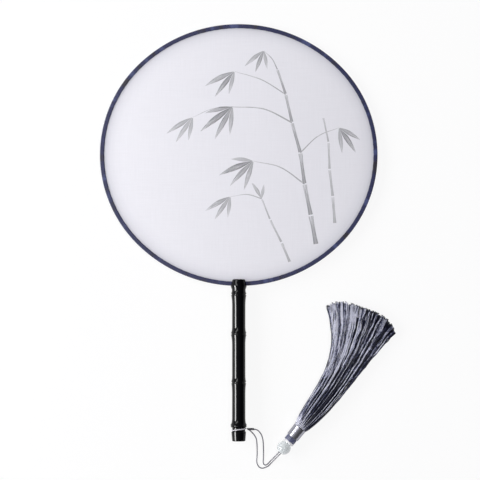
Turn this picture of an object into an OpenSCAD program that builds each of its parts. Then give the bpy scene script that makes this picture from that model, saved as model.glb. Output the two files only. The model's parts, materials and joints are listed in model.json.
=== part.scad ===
// Round silk fan with a turned handle, a cord and a thread tassel, lying on its back.
// +X runs to the right across the face, +Y from the handle to the top of the rim,
// +Z up out of the face. The origin is on the surface that the fan lies on, in the
// middle of the fan's length and width, the cord and its tassel left out.

/* [Face] */
// Width of the face over its ribbon binding
face_w = 266; // [220:1:320]
// Height of the face over its ribbon binding
face_h = 251; // [205:1:310]
// Width of the bent bamboo hoop, across the face
hoop_w = 3.2; // [2.4:0.1:4.5]
// Thickness of the bent bamboo hoop, front to back
hoop_t = 3.0; // [2.2:0.1:4.5]
// Gap between the hoop's two ends, inside the handle's fork
hoop_end_gap = 0.4; // [0.2:0.1:2]
// Thickness of each silk layer
silk_t = 0.15; // [0.1:0.05:0.4]
// Width of the ribbon binding that shows on each side of the rim
binding_w = 4.0; // [3.6:0.1:8]
// Thickness of the ribbon binding
binding_t = 0.3; // [0.2:0.05:0.6]
// Radius of the ribbon's fold at the rim's outer corners
binding_fold_r = 0.5; // [0.35:0.05:0.6]

/* [Handle] */
// Length of the handle, from its head to its butt
handle_len = 155; // [125:1:190]
// Depth that the rim sits in the slot of the handle's head
fork_depth = 6.4; // [5.5:0.1:9]
// Diameter of the handle at the top of its head
head_d = 12.9; // [11:0.1:18]
// Radius that rounds the top of the head
head_round = 1.2; // [0.5:0.1:2]
// Diameter of the head's shoulder, level with the rim's outer edge
shoulder_d = 15.4; // [13:0.1:20]
// Length of the slope from the shoulder down to the neck
neck_slope = 4.2; // [3:0.1:6]
// Diameter of the handle between its carved joints
waist_d = 12.8; // [11:0.1:16]
// Heights that the four carved joints stand out of the waist, from the head down
joint_rise = [0.95, 1.05, 0.7, 1.55]; // [0.5:0.05:2]
// Distance of the first carved joint from the top of the head
first_joint = 14.7; // [14:0.1:20]
// Places of the two middle joints, as shares of the way from the first to the last
middle_joints = [0.3, 0.67]; // [0.2:0.01:0.8]
// Depth of the ring cut into the crest of each carved joint
joint_cut = 0.45; // [0.2:0.05:0.7]
// Depth that the cord's groove is cut below the waist
groove_drop = 0.1; // [0:0.05:1]
// Length of the slope from the last joint's crest down to the cord's groove
groove_slope = 1.7; // [1:0.1:3]
// Length of the stub below the cord's groove
stub_len = 9.6; // [7:0.1:16]
// Diameter of the stub just below the cord's groove
stub_top_d = 14.1; // [13:0.1:17]
// Length of the slope from the cord's groove up to the stub
stub_slope = 0.7; // [0.3:0.1:2]
// Diameter of the stub at the butt
butt_d = 12.8; // [11:0.1:16]
// Radius that rounds the butt's edge
butt_round = 0.9; // [0.3:0.1:2]
// Diameter of the two bamboo pins through the fork and the rim
pin_d = 1.4; // [1:0.1:1.8]
// Distance between the two pins
pin_spacing = 6; // [4:0.5:8]

/* [Cord] */
// Diameter of the cord
cord_d = 1.2; // [0.9:0.1:1.5]
// Distance between the centres of the doubled cord's two strands
strand_pitch = 1.9; // [1.6:0.1:2.4]
// Lean of the noose round the handle, in degrees, seen from the front
noose_lean = 7; // [0:1:9]
// Length of the twisted knot beside the handle
knot_len = 7.6; // [6:0.1:10]
// Diameter of the twisted knot
knot_d = 2.2; // [1.8:0.1:3]
// Radius that rounds the knot's two ends
knot_round = 0.5; // [0.2:0.1:0.8]
// Distance that the knot lies off the middle of the noose, towards the rim
knot_offset = 0.4; // [0:0.1:0.8]

/* [Tassel] */
// Diameter of the round bead
bead_d = 13.2; // [10:0.1:18]
// Direction of the tassel on the table, in degrees from +X towards +Y
tassel_angle = 51; // [40:1:60]
// Diameter of the bead cup
cup_d = 11.2; // [8:0.1:14]
// Thickness of the bead cup at its rim
cup_rim_t = 2.1; // [1.5:0.1:4]
// Distance that the cup's back stands behind the bead
cup_reach = 1.4; // [0.8:0.1:3]
// Radius that rounds the cup's rim
cup_round = 0.5; // [0.2:0.1:0.7]
// Length of the thread-covered head that shows above the sleeve
head_band = 5.0; // [3.5:0.1:9]
// Step from the cup's rim in to the thread-covered head
head_step = 0.2; // [0:0.1:1]
// Length of the metal sleeve
sleeve_len = 12; // [9:0.1:20]
// Diameter of the sleeve at the head
sleeve_top_d = 12.4; // [9:0.1:14]
// Diameter of the sleeve at its mouth
sleeve_mouth_d = 13.0; // [9.6:0.1:15]
// Wall of the sleeve
sleeve_wall = 0.4; // [0.3:0.05:0.8]
// Diameter of the thread bundle where its winding ties it
neck_d = 8.4; // [7:0.1:9]
// Length of the winding that ties the bundle
winding_len = 5; // [3:0.1:8]
// Diameter of the knot that stops the doubled cord inside the head
stopper_d = 4.2; // [3.8:0.1:5]
// Length of the stopper knot
stopper_len = 2.2; // [1.8:0.1:3]
// Greatest height of the skirt of threads above the table
skirt_h = 13; // [9:0.5:16]
// How much lower the skirt's cut end lies than its sleeve end
skirt_fall = 3.2; // [0:0.1:5]
// How far the skirt's cut end bulges out between its two edges
skirt_bulge = 13; // [0:1:25]

/* [Hidden] */
$fn = 64;

// Clearance that stands for a thin film of glue between curved faces
glue_gap = 0.05;
// Clearance of the rim in the handle's slot, on each side
slot_gap = 0.1;
// Radial clearance round the pins
pin_gap = 0.03;
// Radial clearance of the noose on the groove that it turns in
noose_gap = 0.1;
// Room for the noose along its groove
noose_play = 0.4;
// Gap in the cord where it flexes between two bodies
flex_gap = 0.8;
// Clearance between the bead and the cup that it turns in
seat_gap = 0.3;
// Radial clearance round the doubled cord inside the bead and the tassel's head
bore_gap = 0.15;
// Radial clearance round the stopper knot in its chamber
chamber_gap = 0.3;
// Length of the stopper knot's chamber in the head
chamber_len = 2.7;
// Depth inside the sleeve at which the tied bundle meets the head
bundle_inset = 0.4;
// A length that carries a cut past the face that it opens
past = 1;

cord_r = cord_d / 2;
bead_r = bead_d / 2;
pin_r = pin_d / 2;

// The face is an oval of four arcs that meet at 45 degrees: end arcs and flank arcs
face_a = face_w / 2;
face_b = face_h / 2;
arc_gap = (face_a - face_b) / (sqrt(2) - 1);
end_r = face_b - arc_gap * (1 - sqrt(0.5));
flank_r = end_r + arc_gap;
end_shift = face_a - end_r;
flank_shift = flank_r - face_b;
ARC_FACETS = 180;

silk_inset = binding_t + glue_gap;
rim_half_t = hoop_t / 2 + silk_t + binding_t;

// The handle's axis is the line x = 0, z = 0 of the face's own frame
head_y = fork_depth - face_b;
butt_y = head_y - handle_len;
shoulder_r = shoulder_d / 2;
waist_r = waist_d / 2;
pin_y = silk_inset + hoop_w / 2 - face_b;

// The noose turns in a groove wide enough for its lean
groove_r = waist_r - groove_drop;
noose_ring_r = groove_r + noose_gap + cord_r;
groove_w = cord_d + 2 * noose_ring_r * sin(noose_lean) + noose_play;
noose_at = handle_len - stub_len - groove_w / 2;
noose_y = head_y - noose_at;

last_joint = noose_at - groove_w / 2 - groove_slope;
joint_at = [first_joint, for (share = middle_joints) first_joint + share * (last_joint - first_joint),
    last_joint];

// Outline of the head round its shoulder: distance past it, and distance inside it
HEAD_SHAPE = [[-2, 0.35], [0, 0], [1, 0.2]];
// Outline of a carved joint: distance past its crest, and share of its rise
JOINT_SHAPE = [[-7, 0], [-3, 0.3], [-0.9, 0.95], [-0.4, 1], [0, 1], [0.5, 1], [2.4, 0.6], [5.5, 0.2],
    [10, 0]];
JOINT_CREST = 4;

// The fan rests on the rim's far edge and on the head's shoulder, so it leans a little
lean = atan((shoulder_r - rim_half_t) / (2 * face_b));
lift = face_b * sin(lean) + rim_half_t * cos(lean);
shift_y = -(face_b + butt_y) / 2;

// Where the knot begins, and how high the noose lies above the table
knot_x = noose_ring_r + cord_r + glue_gap;
knot_y = shift_y + noose_y * cos(lean) + knot_offset;
knot_z = lift - noose_y * sin(lean);

// Cord routes: x and y from the knot's start, then the share of the height to go down
INNER_ROUTE = [[1.6, -0.1, 1], [3.0, -1.3, 0.99], [5.2, -3.3, 0.95], [7.4, -6, 0.86],
    [9, -9, 0.73], [9.6, -12.4, 0.56], [9.9, -16.4, 0.37], [10, -20.5, 0.2], [10, -24, 0.08],
    [9.8, -27.6, 0.02], [9.5, -31.1, 0], [9.8, -33.6, 0], [11, -36, 0], [12.6, -37.6, 0],
    [14.5, -38.2, 0], [16.4, -38, 0], [18.4, -37.2, 0]];
OUTER_ROUTE = [[6.8, 0, 1], [9, -0.4, 1], [10.8, -1.3, 0.98], [12.4, -3, 0.94],
    [14, -5.5, 0.85], [15.1, -8.7, 0.71], [15.7, -12.4, 0.53], [16, -16.9, 0.33],
    [16.1, -21.3, 0.16], [16.1, -25.4, 0.05], [15.9, -29.4, 0], [15.8, -33.1, 0],
    [16.2, -34.4, 0], [17.3, -35.2, 0], [18.6, -35.2, 0]];
// The doubled stretch from the bend to the bead: x, y, share of the bead's height
LEAD_ROUTE = [[22.1, -33.3, 0.02], [24.2, -31, 0.14], [26.4, -28.6, 0.4], [28.8, -26, 0.76]];
// Where the two strands come together, and the way that they leave it
BEND = [20.4, -35.1];
BEND_ANGLE = 45;
BEAD_AT = [35.6, -18.1];

// Stations along the tassel's axis, from the bead's centre
bore_r = strand_pitch / 2 + cord_r + bore_gap;
mouth_u = -sqrt(bead_r * bead_r - bore_r * bore_r);
lift_pivot_u = mouth_u - flex_gap / 2;
cup_end_u = bead_r + cup_reach;
sleeve_u = cup_end_u + head_band;
mouth_end_u = sleeve_u + sleeve_len;
bundle_u = sleeve_u + bundle_inset;
stopper_u = bundle_u - chamber_len + glue_gap;
winding_u = bundle_u + seat_gap;

// The skirt's left and right edges, from the sleeve's mouth: control points of two curves
SKIRT_LEFT = [[2, 7.2], [37, 13], [73, 6], [106, 55]];
SKIRT_RIGHT = [[1, -7.2], [33, -17], [77, -13], [129, -13]];
SKIRT_STATIONS = 14;
SKIRT_SIDES = 44;
// Share of the skirt's length over which it swells and sinks again
SWELL_SHARE = 0.7;
// Number of shallow locks round the skirt, their depth as a share, and where they set in
LOCKS = 11;
LOCK_DEPTH = 0.07;
LOCK_START = 0.25;

// Places a piece of the fan, modelled about its face, as it lies on the table
module on_table() {
    translate([0, shift_y, lift]) rotate([-lean, 0, 0]) children();
}

// Places a piece of the tassel, modelled along +X from the bead's centre
module on_tassel() {
    translate([knot_x + BEAD_AT[0], knot_y + BEAD_AT[1], bead_r]) rotate([0, 0, tassel_angle]) children();
}

// Turns a piece modelled about Z to lie along the tassel, from a distance u along it
module along_tassel(u) {
    on_tassel() translate([u, 0, 0]) rotate([0, 90, 0]) children();
}

// Turns a piece modelled about Z, from z = 0 down the handle, to lie along the handle
module along_handle() {
    translate([0, head_y, 0]) rotate([90, 0, 0]) children();
}

// Sweeps a section round the oval: x is the distance in from the outer edge, negative
module oval_sweep() {
    for (side = [0, 180]) rotate([0, 0, side]) {
        translate([end_shift, 0, 0]) rotate([0, 0, -45])
            rotate_extrude(angle = 90, $fn = ARC_FACETS) translate([end_r, 0]) children();
        translate([0, -flank_shift, 0]) rotate([0, 0, 45])
            rotate_extrude(angle = 90, $fn = ARC_FACETS) translate([flank_r, 0]) children();
    }
}

// A flat oval plate from z = low to z = high, its edge a distance in from the face's edge
module oval_plate(inset, low, high) {
    for (side = [0, 180]) rotate([0, 0, side]) {
        translate([end_shift, 0, low]) rotate([0, 0, -45])
            rotate_extrude(angle = 90, $fn = ARC_FACETS) square([end_r - inset, high - low]);
        translate([0, -flank_shift, low]) rotate([0, 0, 45])
            rotate_extrude(angle = 90, $fn = ARC_FACETS) square([flank_r - inset, high - low]);
    }
}

function arc_points(x, y, radius, from, to, steps) =
    [for (k = [0 : steps]) let (t = from + (to - from) * k / steps)
        [x + radius * cos(t), y + radius * sin(t)]];

// A round barrel from z = 0 up, its two rims rounded
module barrel(radius, length, round_r) {
    rotate_extrude() polygon(concat(
        [[0, 0]],
        arc_points(radius - round_r, round_r, round_r, -90, 0, 4),
        arc_points(radius - round_r, length - round_r, round_r, 0, 90, 4),
        [[0, length]]));
}

// The two pins, or with a gap the holes that they go through
module pin_pair(radius, length) {
    for (side = [-1, 1])
        translate([side * pin_spacing / 2, pin_y, 0])
            cylinder(r = radius, h = length, center = true, $fn = 32);
}

// Bent bamboo strip: its two ends meet inside the handle's fork, one on each pin
module rim_hoop() {
    color("#c9a86a") on_table() difference() {
        oval_sweep() translate([-silk_inset - hoop_w, -hoop_t / 2]) square([hoop_w, hoop_t]);
        translate([-hoop_end_gap / 2, -face_b - past, -hoop_t])
            cube([hoop_end_gap, silk_inset + hoop_w + 2 * past, 2 * hoop_t]);
        pin_pair(pin_r + pin_gap, 2 * rim_half_t);
    }
}

// One stretched silk layer on the front or the back of the hoop
module silk_layer(side) {
    low = side > 0 ? hoop_t / 2 : -hoop_t / 2 - silk_t;
    difference() {
        oval_plate(silk_inset, low, low + silk_t);
        pin_pair(pin_r + pin_gap, 4 * rim_half_t);
    }
}

module front_silk() {
    color("#eeeef4") on_table() silk_layer(1);
}

module back_silk() {
    color("#e4e4ec") on_table() silk_layer(-1);
}

// The ribbon's section: folded over the rim's outer edge and down on both faces
module binding_section() {
    difference() {
        union() {
            translate([-binding_w, -rim_half_t])
                square([binding_w - binding_fold_r, 2 * rim_half_t]);
            translate([-binding_w, binding_fold_r - rim_half_t])
                square([binding_w, 2 * (rim_half_t - binding_fold_r)]);
            for (side = [-1, 1])
                translate([-binding_fold_r, side * (rim_half_t - binding_fold_r)])
                    circle(r = binding_fold_r, $fn = 24);
        }
        translate([-binding_w - past, binding_t - rim_half_t])
            square([binding_w + past - binding_t, 2 * (rim_half_t - binding_t)]);
    }
}

module rim_binding() {
    color("#26264a") on_table() difference() {
        oval_sweep() binding_section();
        pin_pair(pin_r + pin_gap, 4 * rim_half_t);
    }
}

// The handle's outline round one carved joint, with the ring cut into its crest
function joint_points(at, rise) = [for (k = [0 : len(JOINT_SHAPE) - 1])
    [waist_r + JOINT_SHAPE[k][1] * rise - (k == JOINT_CREST ? joint_cut : 0), at + JOINT_SHAPE[k][0]]];

// The first joint follows the neck, and the last drops at once into the cord's groove
function joint_outline(i) = let (
    points = joint_points(joint_at[i], joint_rise[i]),
    from = i == 0 ? 1 : 0,
    to = i == len(joint_at) - 1 ? JOINT_CREST + 1 : len(points) - 1)
    [for (k = [from : to]) points[k]];

function handle_outline() = concat(
    [[0, 0]],
    arc_points(head_d / 2 - head_round, head_round, head_round, -90, 0, 5),
    [for (p = HEAD_SHAPE) [shoulder_r - p[1], fork_depth + p[0]]],
    [[waist_r, fork_depth + neck_slope]],
    [for (i = [0 : len(joint_at) - 1]) each joint_outline(i)],
    [[groove_r, noose_at - groove_w / 2], [groove_r, noose_at + groove_w / 2],
        [stub_top_d / 2, handle_len - stub_len + stub_slope]],
    arc_points(butt_d / 2 - butt_round, handle_len - butt_round, butt_round, 0, 90, 5),
    [[0, handle_len]]);

module handle_blank() {
    along_handle() rotate_extrude() polygon(handle_outline());
}

// Turned handle, carved as bamboo, with a slot across its head for the rim
module handle() {
    color("#08080a") on_table() difference() {
        handle_blank();
        translate([-shoulder_d, -face_b - slot_gap, -rim_half_t - slot_gap])
            cube([2 * shoulder_d, fork_depth + slot_gap + past, 2 * (rim_half_t + slot_gap)]);
        pin_pair(pin_r + pin_gap, 2 * shoulder_d);
    }
}

// Two bamboo pins through the fork's cheeks and the ends of the hoop, cut flush
module fork_pins() {
    color("#17130f") on_table() intersection() {
        pin_pair(pin_r, 2 * shoulder_d);
        handle_blank();
    }
}

// One turn of the cord in the handle's groove
module cord_noose() {
    color("#dcdce6") on_table() translate([0, noose_y, 0]) rotate([90, 0, noose_lean])
        rotate_extrude() translate([noose_ring_r, 0]) circle(r = cord_r, $fn = 24);
}

// The cord's twisted knot, just clear of the noose
module cord_knot() {
    color("#8f8c98") translate([knot_x, knot_y, knot_z]) rotate([0, 90, 0])
        barrel(knot_d / 2, knot_len, knot_round, $fn = 32);
}

function direction(angle) = [cos(angle), sin(angle)];
function sideways(angle) = [-sin(angle), cos(angle)];
function unit(v) = v / norm(v);

// Points of a loose stretch: the share falls from the noose's height to the table's
function placed(route) = [for (p = route)
    [knot_x + p[0], knot_y + p[1], cord_r + p[2] * (knot_z - cord_r)]];

// Where a strand stops short of the bend, on the side given
function strand_end(side) = let (
    p = BEND + side * strand_pitch / 2 * sideways(BEND_ANGLE) - flex_gap / 2 * direction(BEND_ANGLE))
    [knot_x + p[0], knot_y + p[1], cord_r];

// The doubled stretch's middle line, from past the bend to just short of the bead
function lead_line() = let (
    p = BEND + flex_gap / 2 * direction(BEND_ANGLE),
    q = BEAD_AT + (lift_pivot_u - flex_gap / 2) * direction(tassel_angle))
    concat([[p[0], p[1], 0]], LEAD_ROUTE, [[q[0], q[1], 1]]);

function lead_strand(side) = let (line = lead_line(), last = len(line) - 1)
    [for (i = [0 : last]) let (
        a = line[max(i - 1, 0)], b = line[min(i + 1, last)],
        way = i == 0 ? BEND_ANGLE : i == last ? tassel_angle : atan2(b[1] - a[1], b[0] - a[0]),
        p = [line[i][0], line[i][1]] + side * strand_pitch / 2 * sideways(way))
        [knot_x + p[0], knot_y + p[1], cord_r + line[i][2] * (bead_r - cord_r)]];

// A round tube along points: one ring at each point, square to the way there
module tube(points, radius, sides = 8) {
    last = len(points) - 1;
    rings = [for (i = [0 : last]) let (
        way = unit(points[min(i + 1, last)] - points[max(i - 1, 0)]),
        across = unit(cross(way, [0, 0, 1])),
        up = cross(across, way))
        for (k = [0 : sides - 1]) let (t = (k + 0.5) * 360 / sides)
            points[i] + radius * (cos(t) * across + sin(t) * up)];
    walls = [for (i = [0 : last - 1]) for (k = [0 : sides - 1])
        let (a = i * sides + k, b = i * sides + (k + 1) % sides)
            each [[a, b, b + sides], [a, b + sides, a + sides]]];
    polyhedron(rings, concat(walls,
        [[for (k = [sides - 1 : -1 : 0]) k]], [[for (k = [0 : sides - 1]) last * sides + k]]));
}

module inner_strand() {
    color("#a9a7b0") tube(concat(placed(INNER_ROUTE), [strand_end(-1)]), cord_r);
}

module outer_strand() {
    color("#a9a7b0") tube(concat(placed(OUTER_ROUTE), [strand_end(1)]), cord_r);
}

module lead_inner() {
    color("#6a6872") tube(lead_strand(-1), cord_r);
}

module lead_outer() {
    color("#6a6872") tube(lead_strand(1), cord_r);
}

// Round bead, drilled through for the doubled cord
module jade_bead() {
    color("#d0d5d8") on_tassel() difference() {
        sphere(r = bead_r);
        rotate([0, 90, 0]) cylinder(r = bore_r, h = bead_d + 2 * past, center = true);
    }
}

// The doubled cord through the bead and the cup, as far as its stopper
module core_cord() {
    color("#6a6872") for (side = [-1, 1])
        along_tassel(mouth_u) translate([0, side * strand_pitch / 2, 0])
            cylinder(r = cord_r, h = stopper_u - mouth_u, $fn = 24);
}

// The knot that keeps the doubled cord from pulling out of the tassel's head
module stopper_knot() {
    color("#6a6872") along_tassel(stopper_u)
        barrel(stopper_d / 2, stopper_len, stopper_len / 3);
}

// White cup between the bead and the tassel's head, hollowed to the bead
module bead_cup() {
    color("#f2f2f4") difference() {
        along_tassel(cup_end_u - cup_rim_t) barrel(cup_d / 2, cup_rim_t, cup_round);
        on_tassel() sphere(r = bead_r + seat_gap);
        along_tassel(0) cylinder(r = bore_r, h = cup_end_u + past);
    }
}

// The threads folded over the cord: the band that shows above the sleeve, and the
// chamber inside it that the stopper knot bears against
module thread_head() {
    band_r = cup_d / 2 - head_step;
    chamber_r = stopper_d / 2 + chamber_gap;
    end = bundle_u - cup_end_u;
    color("#6b6577") along_tassel(cup_end_u) rotate_extrude() polygon([
        [bore_r, 0], [band_r, 0], [band_r, head_band - head_step], [neck_d / 2, head_band],
        [neck_d / 2, end], [chamber_r, end], [chamber_r, end - chamber_len],
        [bore_r, end - chamber_len]]);
}

// Thread wound round the bundle under the sleeve, which ties the tassel
module neck_winding() {
    color("#4c4a58") along_tassel(winding_u) difference() {
        cylinder(r = sleeve_inner_r(winding_u) - glue_gap, h = winding_len);
        translate([0, 0, -past]) cylinder(r = neck_d / 2 + glue_gap, h = winding_len + 2 * past);
    }
}

// Inner radius of the sleeve a distance u along the tassel
function sleeve_inner_r(u) = sleeve_top_d / 2 - sleeve_wall
    + (sleeve_mouth_d - sleeve_top_d) / 2 * (u - sleeve_u) / sleeve_len;

// Thin metal sleeve that clamps the bundle
module metal_sleeve() {
    color("#b9b9c4") along_tassel(sleeve_u) rotate_extrude() polygon([
        [sleeve_top_d / 2 - sleeve_wall, 0], [sleeve_top_d / 2, 0],
        [sleeve_mouth_d / 2, sleeve_len], [sleeve_mouth_d / 2 - sleeve_wall, sleeve_len]]);
}

function bezier(p, t) = pow(1 - t, 3) * p[0] + 3 * t * pow(1 - t, 2) * p[1]
    + 3 * t * t * (1 - t) * p[2] + pow(t, 3) * p[3];

// Height of the skirt at a share of its length
function skirt_top(t) = sleeve_mouth_d - skirt_fall * t
    + (skirt_h - sleeve_mouth_d) * sin(180 * min(t / SWELL_SHARE, 1));

// Height of the skirt's middle: it sags half way to the table at the sleeve's mouth
function skirt_middle(t) = (1 - t) * (bead_r + sleeve_mouth_d / 2) / 2 + t * skirt_top(t) / 2;

// One ring of the skirt beyond the sleeve: flat where it lies on the table
function skirt_ring(t) = let (
    left = bezier(SKIRT_LEFT, t), right = bezier(SKIRT_RIGHT, t),
    middle = (left + right) / 2 + [mouth_end_u, 0], half = (left - right) / 2,
    out = [half[1], -half[0]] / norm(half))
    [for (k = [0 : SKIRT_SIDES - 1]) let (
        a = k * 360 / SKIRT_SIDES,
        lock = 1 - LOCK_DEPTH * min(t / LOCK_START, 1) * (1 - cos(LOCKS * a)) / 2,
        p = middle + lock * cos(a) * half + skirt_bulge * pow(t, 3) * pow(sin(a), 2) * out,
        z = skirt_middle(t) + lock * sin(a) * skirt_top(t) / 2)
        [p[0], p[1], max(z, 0) - bead_r]];

// A round ring of the bundle inside the sleeve
function bundle_ring(u, radius) = [for (k = [0 : SKIRT_SIDES - 1])
    let (a = k * 360 / SKIRT_SIDES) [u, radius * cos(a), radius * sin(a)]];

// The cut threads: a bundle tied in the sleeve that spreads out over the table
module tassel_skirt() {
    neck_end = winding_u + winding_len + seat_gap;
    belly = neck_end + past;
    rings = concat(
        bundle_ring(bundle_u, neck_d / 2),
        bundle_ring(neck_end, neck_d / 2),
        bundle_ring(belly, sleeve_inner_r(neck_end) - 2 * glue_gap),
        bundle_ring(mouth_end_u, sleeve_inner_r(mouth_end_u) - 2 * glue_gap),
        [for (i = [0 : SKIRT_STATIONS - 1]) each skirt_ring(i / (SKIRT_STATIONS - 1))]);
    last = SKIRT_STATIONS + 3;
    walls = [for (i = [0 : last - 1]) for (k = [0 : SKIRT_SIDES - 1])
        let (a = i * SKIRT_SIDES + k, b = i * SKIRT_SIDES + (k + 1) % SKIRT_SIDES)
            each [[a, b, b + SKIRT_SIDES], [a, b + SKIRT_SIDES, a + SKIRT_SIDES]]];
    near = last * SKIRT_SIDES;
    far = near + SKIRT_SIDES;
    half = SKIRT_SIDES / 2;
    cut_end = concat([[near, near + 1, far - 1], [near + half - 1, near + half, near + half + 1]],
        [for (k = [1 : half - 2])
            each [[near + k, near + k + 1, far - k - 1], [near + k, far - k - 1, far - k]]]);
    color("#5c5e74") on_tassel() polyhedron(rings,
        concat([[for (k = [SKIRT_SIDES - 1 : -1 : 0]) k]], walls, cut_end));
}

rim_hoop();
front_silk();
back_silk();
rim_binding();
handle();
fork_pins();
cord_noose();
cord_knot();
inner_strand();
outer_strand();
lead_inner();
lead_outer();
jade_bead();
core_cord();
stopper_knot();
bead_cup();
thread_head();
neck_winding();
metal_sleeve();
tassel_skirt();
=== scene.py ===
import json
import math
from functools import partial

import bpy
import numpy as np
from mathutils import Matrix, Vector


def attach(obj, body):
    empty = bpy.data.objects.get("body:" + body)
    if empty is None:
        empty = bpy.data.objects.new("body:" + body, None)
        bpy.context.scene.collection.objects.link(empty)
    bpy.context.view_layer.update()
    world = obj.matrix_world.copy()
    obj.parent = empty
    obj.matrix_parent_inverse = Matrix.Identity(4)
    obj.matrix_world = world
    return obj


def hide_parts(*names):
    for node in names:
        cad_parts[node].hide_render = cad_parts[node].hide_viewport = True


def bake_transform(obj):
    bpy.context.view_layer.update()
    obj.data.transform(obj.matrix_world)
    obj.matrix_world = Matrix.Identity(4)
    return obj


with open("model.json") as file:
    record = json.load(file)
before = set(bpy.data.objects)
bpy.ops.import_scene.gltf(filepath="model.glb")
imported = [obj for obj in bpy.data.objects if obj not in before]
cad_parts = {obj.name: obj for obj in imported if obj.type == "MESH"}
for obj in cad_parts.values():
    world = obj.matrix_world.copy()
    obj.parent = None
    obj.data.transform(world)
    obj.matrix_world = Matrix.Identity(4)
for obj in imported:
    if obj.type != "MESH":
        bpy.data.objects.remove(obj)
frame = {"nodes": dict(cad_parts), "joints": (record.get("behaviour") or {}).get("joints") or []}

bl_info = {
    "name": "Round silk fan",
    "version": (1, 0, 0),
    "blender": (4, 5, 0),
    "location": "3D View > Sidebar > Silk fan",
    "description": "A round silk fan with a lacquered handle, a cord, a bead and a thread tassel",
    "category": "Object",
}

MM = 0.001
JOINTS = {joint["name"]: joint for joint in frame["joints"]}
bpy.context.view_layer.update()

UP = Vector((0, 0, 1))


def own_frame(origin, *ways):
    """The matrix of a frame, from its origin and the ways of its X, Y and Z."""
    return Matrix.Translation(origin) @ Matrix(ways).transposed().to_4x4()


# The fan's own frame: its origin is the middle of the face, +Y runs to the top of the rim
HANDLE_AXIS = Vector(JOINTS["cord_swivel"]["axis"]).normalized()
NOOSE_CENTRE = Vector(JOINTS["cord_swivel"]["pos_m"])
NOOSE_TO_FACE = 262.847 * MM
FACE_CENTRE = NOOSE_CENTRE + NOOSE_TO_FACE * HANDLE_AXIS
ACROSS = Vector((1, 0, 0))
FAN = own_frame(FACE_CENTRE, ACROSS, HANDLE_AXIS, ACROSS.cross(HANDLE_AXIS))

# The tassel's own frame: its origin is the bead's centre, +X runs along the tassel
BEAD_CENTRE = Vector(JOINTS["bead_spin"]["pos_m"])
TASSEL_AXIS = Vector(JOINTS["bead_spin"]["axis"]).normalized()
TASSEL = own_frame(BEAD_CENTRE, TASSEL_AXIS, UP.cross(TASSEL_AXIS), UP)
# Lays a piece that was turned about Z along the tassel
ALONG_TASSEL = TASSEL @ Matrix.Rotation(math.pi / 2, 4, "Y")
BEND = Vector(JOINTS["lead_swing"]["pos_m"])


def linear(hex_colour):
    """The linear colour of an sRGB hex value."""
    parts = [int(hex_colour[i:i + 2], 16) / 255 for i in (1, 3, 5)]
    return tuple(c / 12.92 if c <= 0.04045 else ((c + 0.055) / 1.055) ** 2.4
                 for c in parts) + (1.0,)


def length_of(name, description, millimetres, low=0.0):
    """A length that a user may change, in metres."""
    return bpy.props.FloatProperty(name=name, description=description, default=millimetres * MM,
                                   min=low, precision=5, subtype="DISTANCE", unit="LENGTH")


def power_of(name, description, watts):
    """A lamp's power that a user may change."""
    return bpy.props.FloatProperty(name=name, description=description, default=watts,
                                   min=0.0, unit="POWER")


def count_of(name, description, count):
    """A number of wisps that a user may change."""
    return bpy.props.IntProperty(name=name, description=description, default=count, min=10)


def colour_of(name, description, hex_colour):
    """A colour that a user may change."""
    return bpy.props.FloatVectorProperty(name=name, description=description, size=4, min=0.0,
                                         max=1.0, default=linear(hex_colour), subtype="COLOR")


class StudioSettings(bpy.types.PropertyGroup):
    """Camera, floor and lamps."""
    view_width: length_of("View width", "Width of the table that the picture shows", 460.8)
    view_x: length_of("View middle X", "Middle of the picture", 1.2, low=-1.0)
    view_y: length_of("View middle Y", "Middle of the picture", -7.2, low=-1.0)
    camera_height: length_of("Camera height", "Height of the camera above the table", 3000)
    floor_size: length_of("Floor size", "Width of the white table", 40000)
    key_power: power_of("Key lamp", "Power of the long lamp at the left", 14.2)
    strip_power: power_of("Strip lamp", "Power of the strip that shows in gloss", 56)
    panel_power: power_of("Panel lamp", "Power of the panel that shows in the sleeve", 5)
    fill_strength: bpy.props.FloatProperty(
        name="Fill lamp", description="Strength of the overhead fill", default=1.38, min=0.0)


class FaceSettings(bpy.types.PropertyGroup):
    """Silk, ribbon and ink."""
    width: length_of("Width", "Width of the face over its ribbon", 266)
    height: length_of("Height", "Height of the face over its ribbon", 251)
    silk_thickness: length_of("Silk thickness", "Thickness of a silk layer", 0.15)
    hoop_thickness: length_of("Hoop thickness", "Thickness of the hoop between the silks", 3.0)
    silk_inset: length_of("Silk inset", "Distance of the silk's edge inside the rim's edge", 0.35)
    ribbon_width: length_of("Ribbon width", "Width of ribbon that shows on each side", 4.0)
    ribbon_thickness: length_of("Ribbon thickness", "Thickness of the ribbon", 0.3)
    silk_colour: colour_of("Silk", "Pale lavender white of the silk", "#E8E7EE")
    # Painted shade: the silk is coloured darker away from the key lamp and in the rim's shade
    silk_shade: colour_of("Silk shade", "Silk away from the key lamp", "#DEDDE4")
    rim_shade: colour_of("Rim shade", "Silk in the shade of the rim", "#B6B6C0")
    navy: colour_of("Ribbon", "Navy of the ribbon", "#23264C")
    charcoal: colour_of("Ribbon dark", "Dark stretches of the ribbon", "#25212E")
    periwinkle: colour_of("Ribbon light", "Light stretches of the ribbon", "#3E4670")
    ink_pale: colour_of("Pale ink", "Thinned ink", "#B2B2B7")
    ink_dark: colour_of("Dark ink", "Strong ink", "#2C2C31")


class HandleSettings(bpy.types.PropertyGroup):
    """Turned and carved handle."""
    length: length_of("Length", "Length from the head to the butt", 155)
    head_diameter: length_of("Head", "Diameter at the top of the head", 12.9)
    shoulder_diameter: length_of("Shoulder", "Diameter of the head's shoulder", 15.4)
    waist_diameter: length_of("Waist", "Diameter between the carved joints", 12.8)
    butt_diameter: length_of("Butt", "Diameter of the butt", 12.8)
    fork_depth: length_of("Fork depth", "Depth that the rim sits in the head's slot", 6.4)
    lacquer: colour_of("Lacquer", "Black of the lacquer", "#020204")


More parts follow.
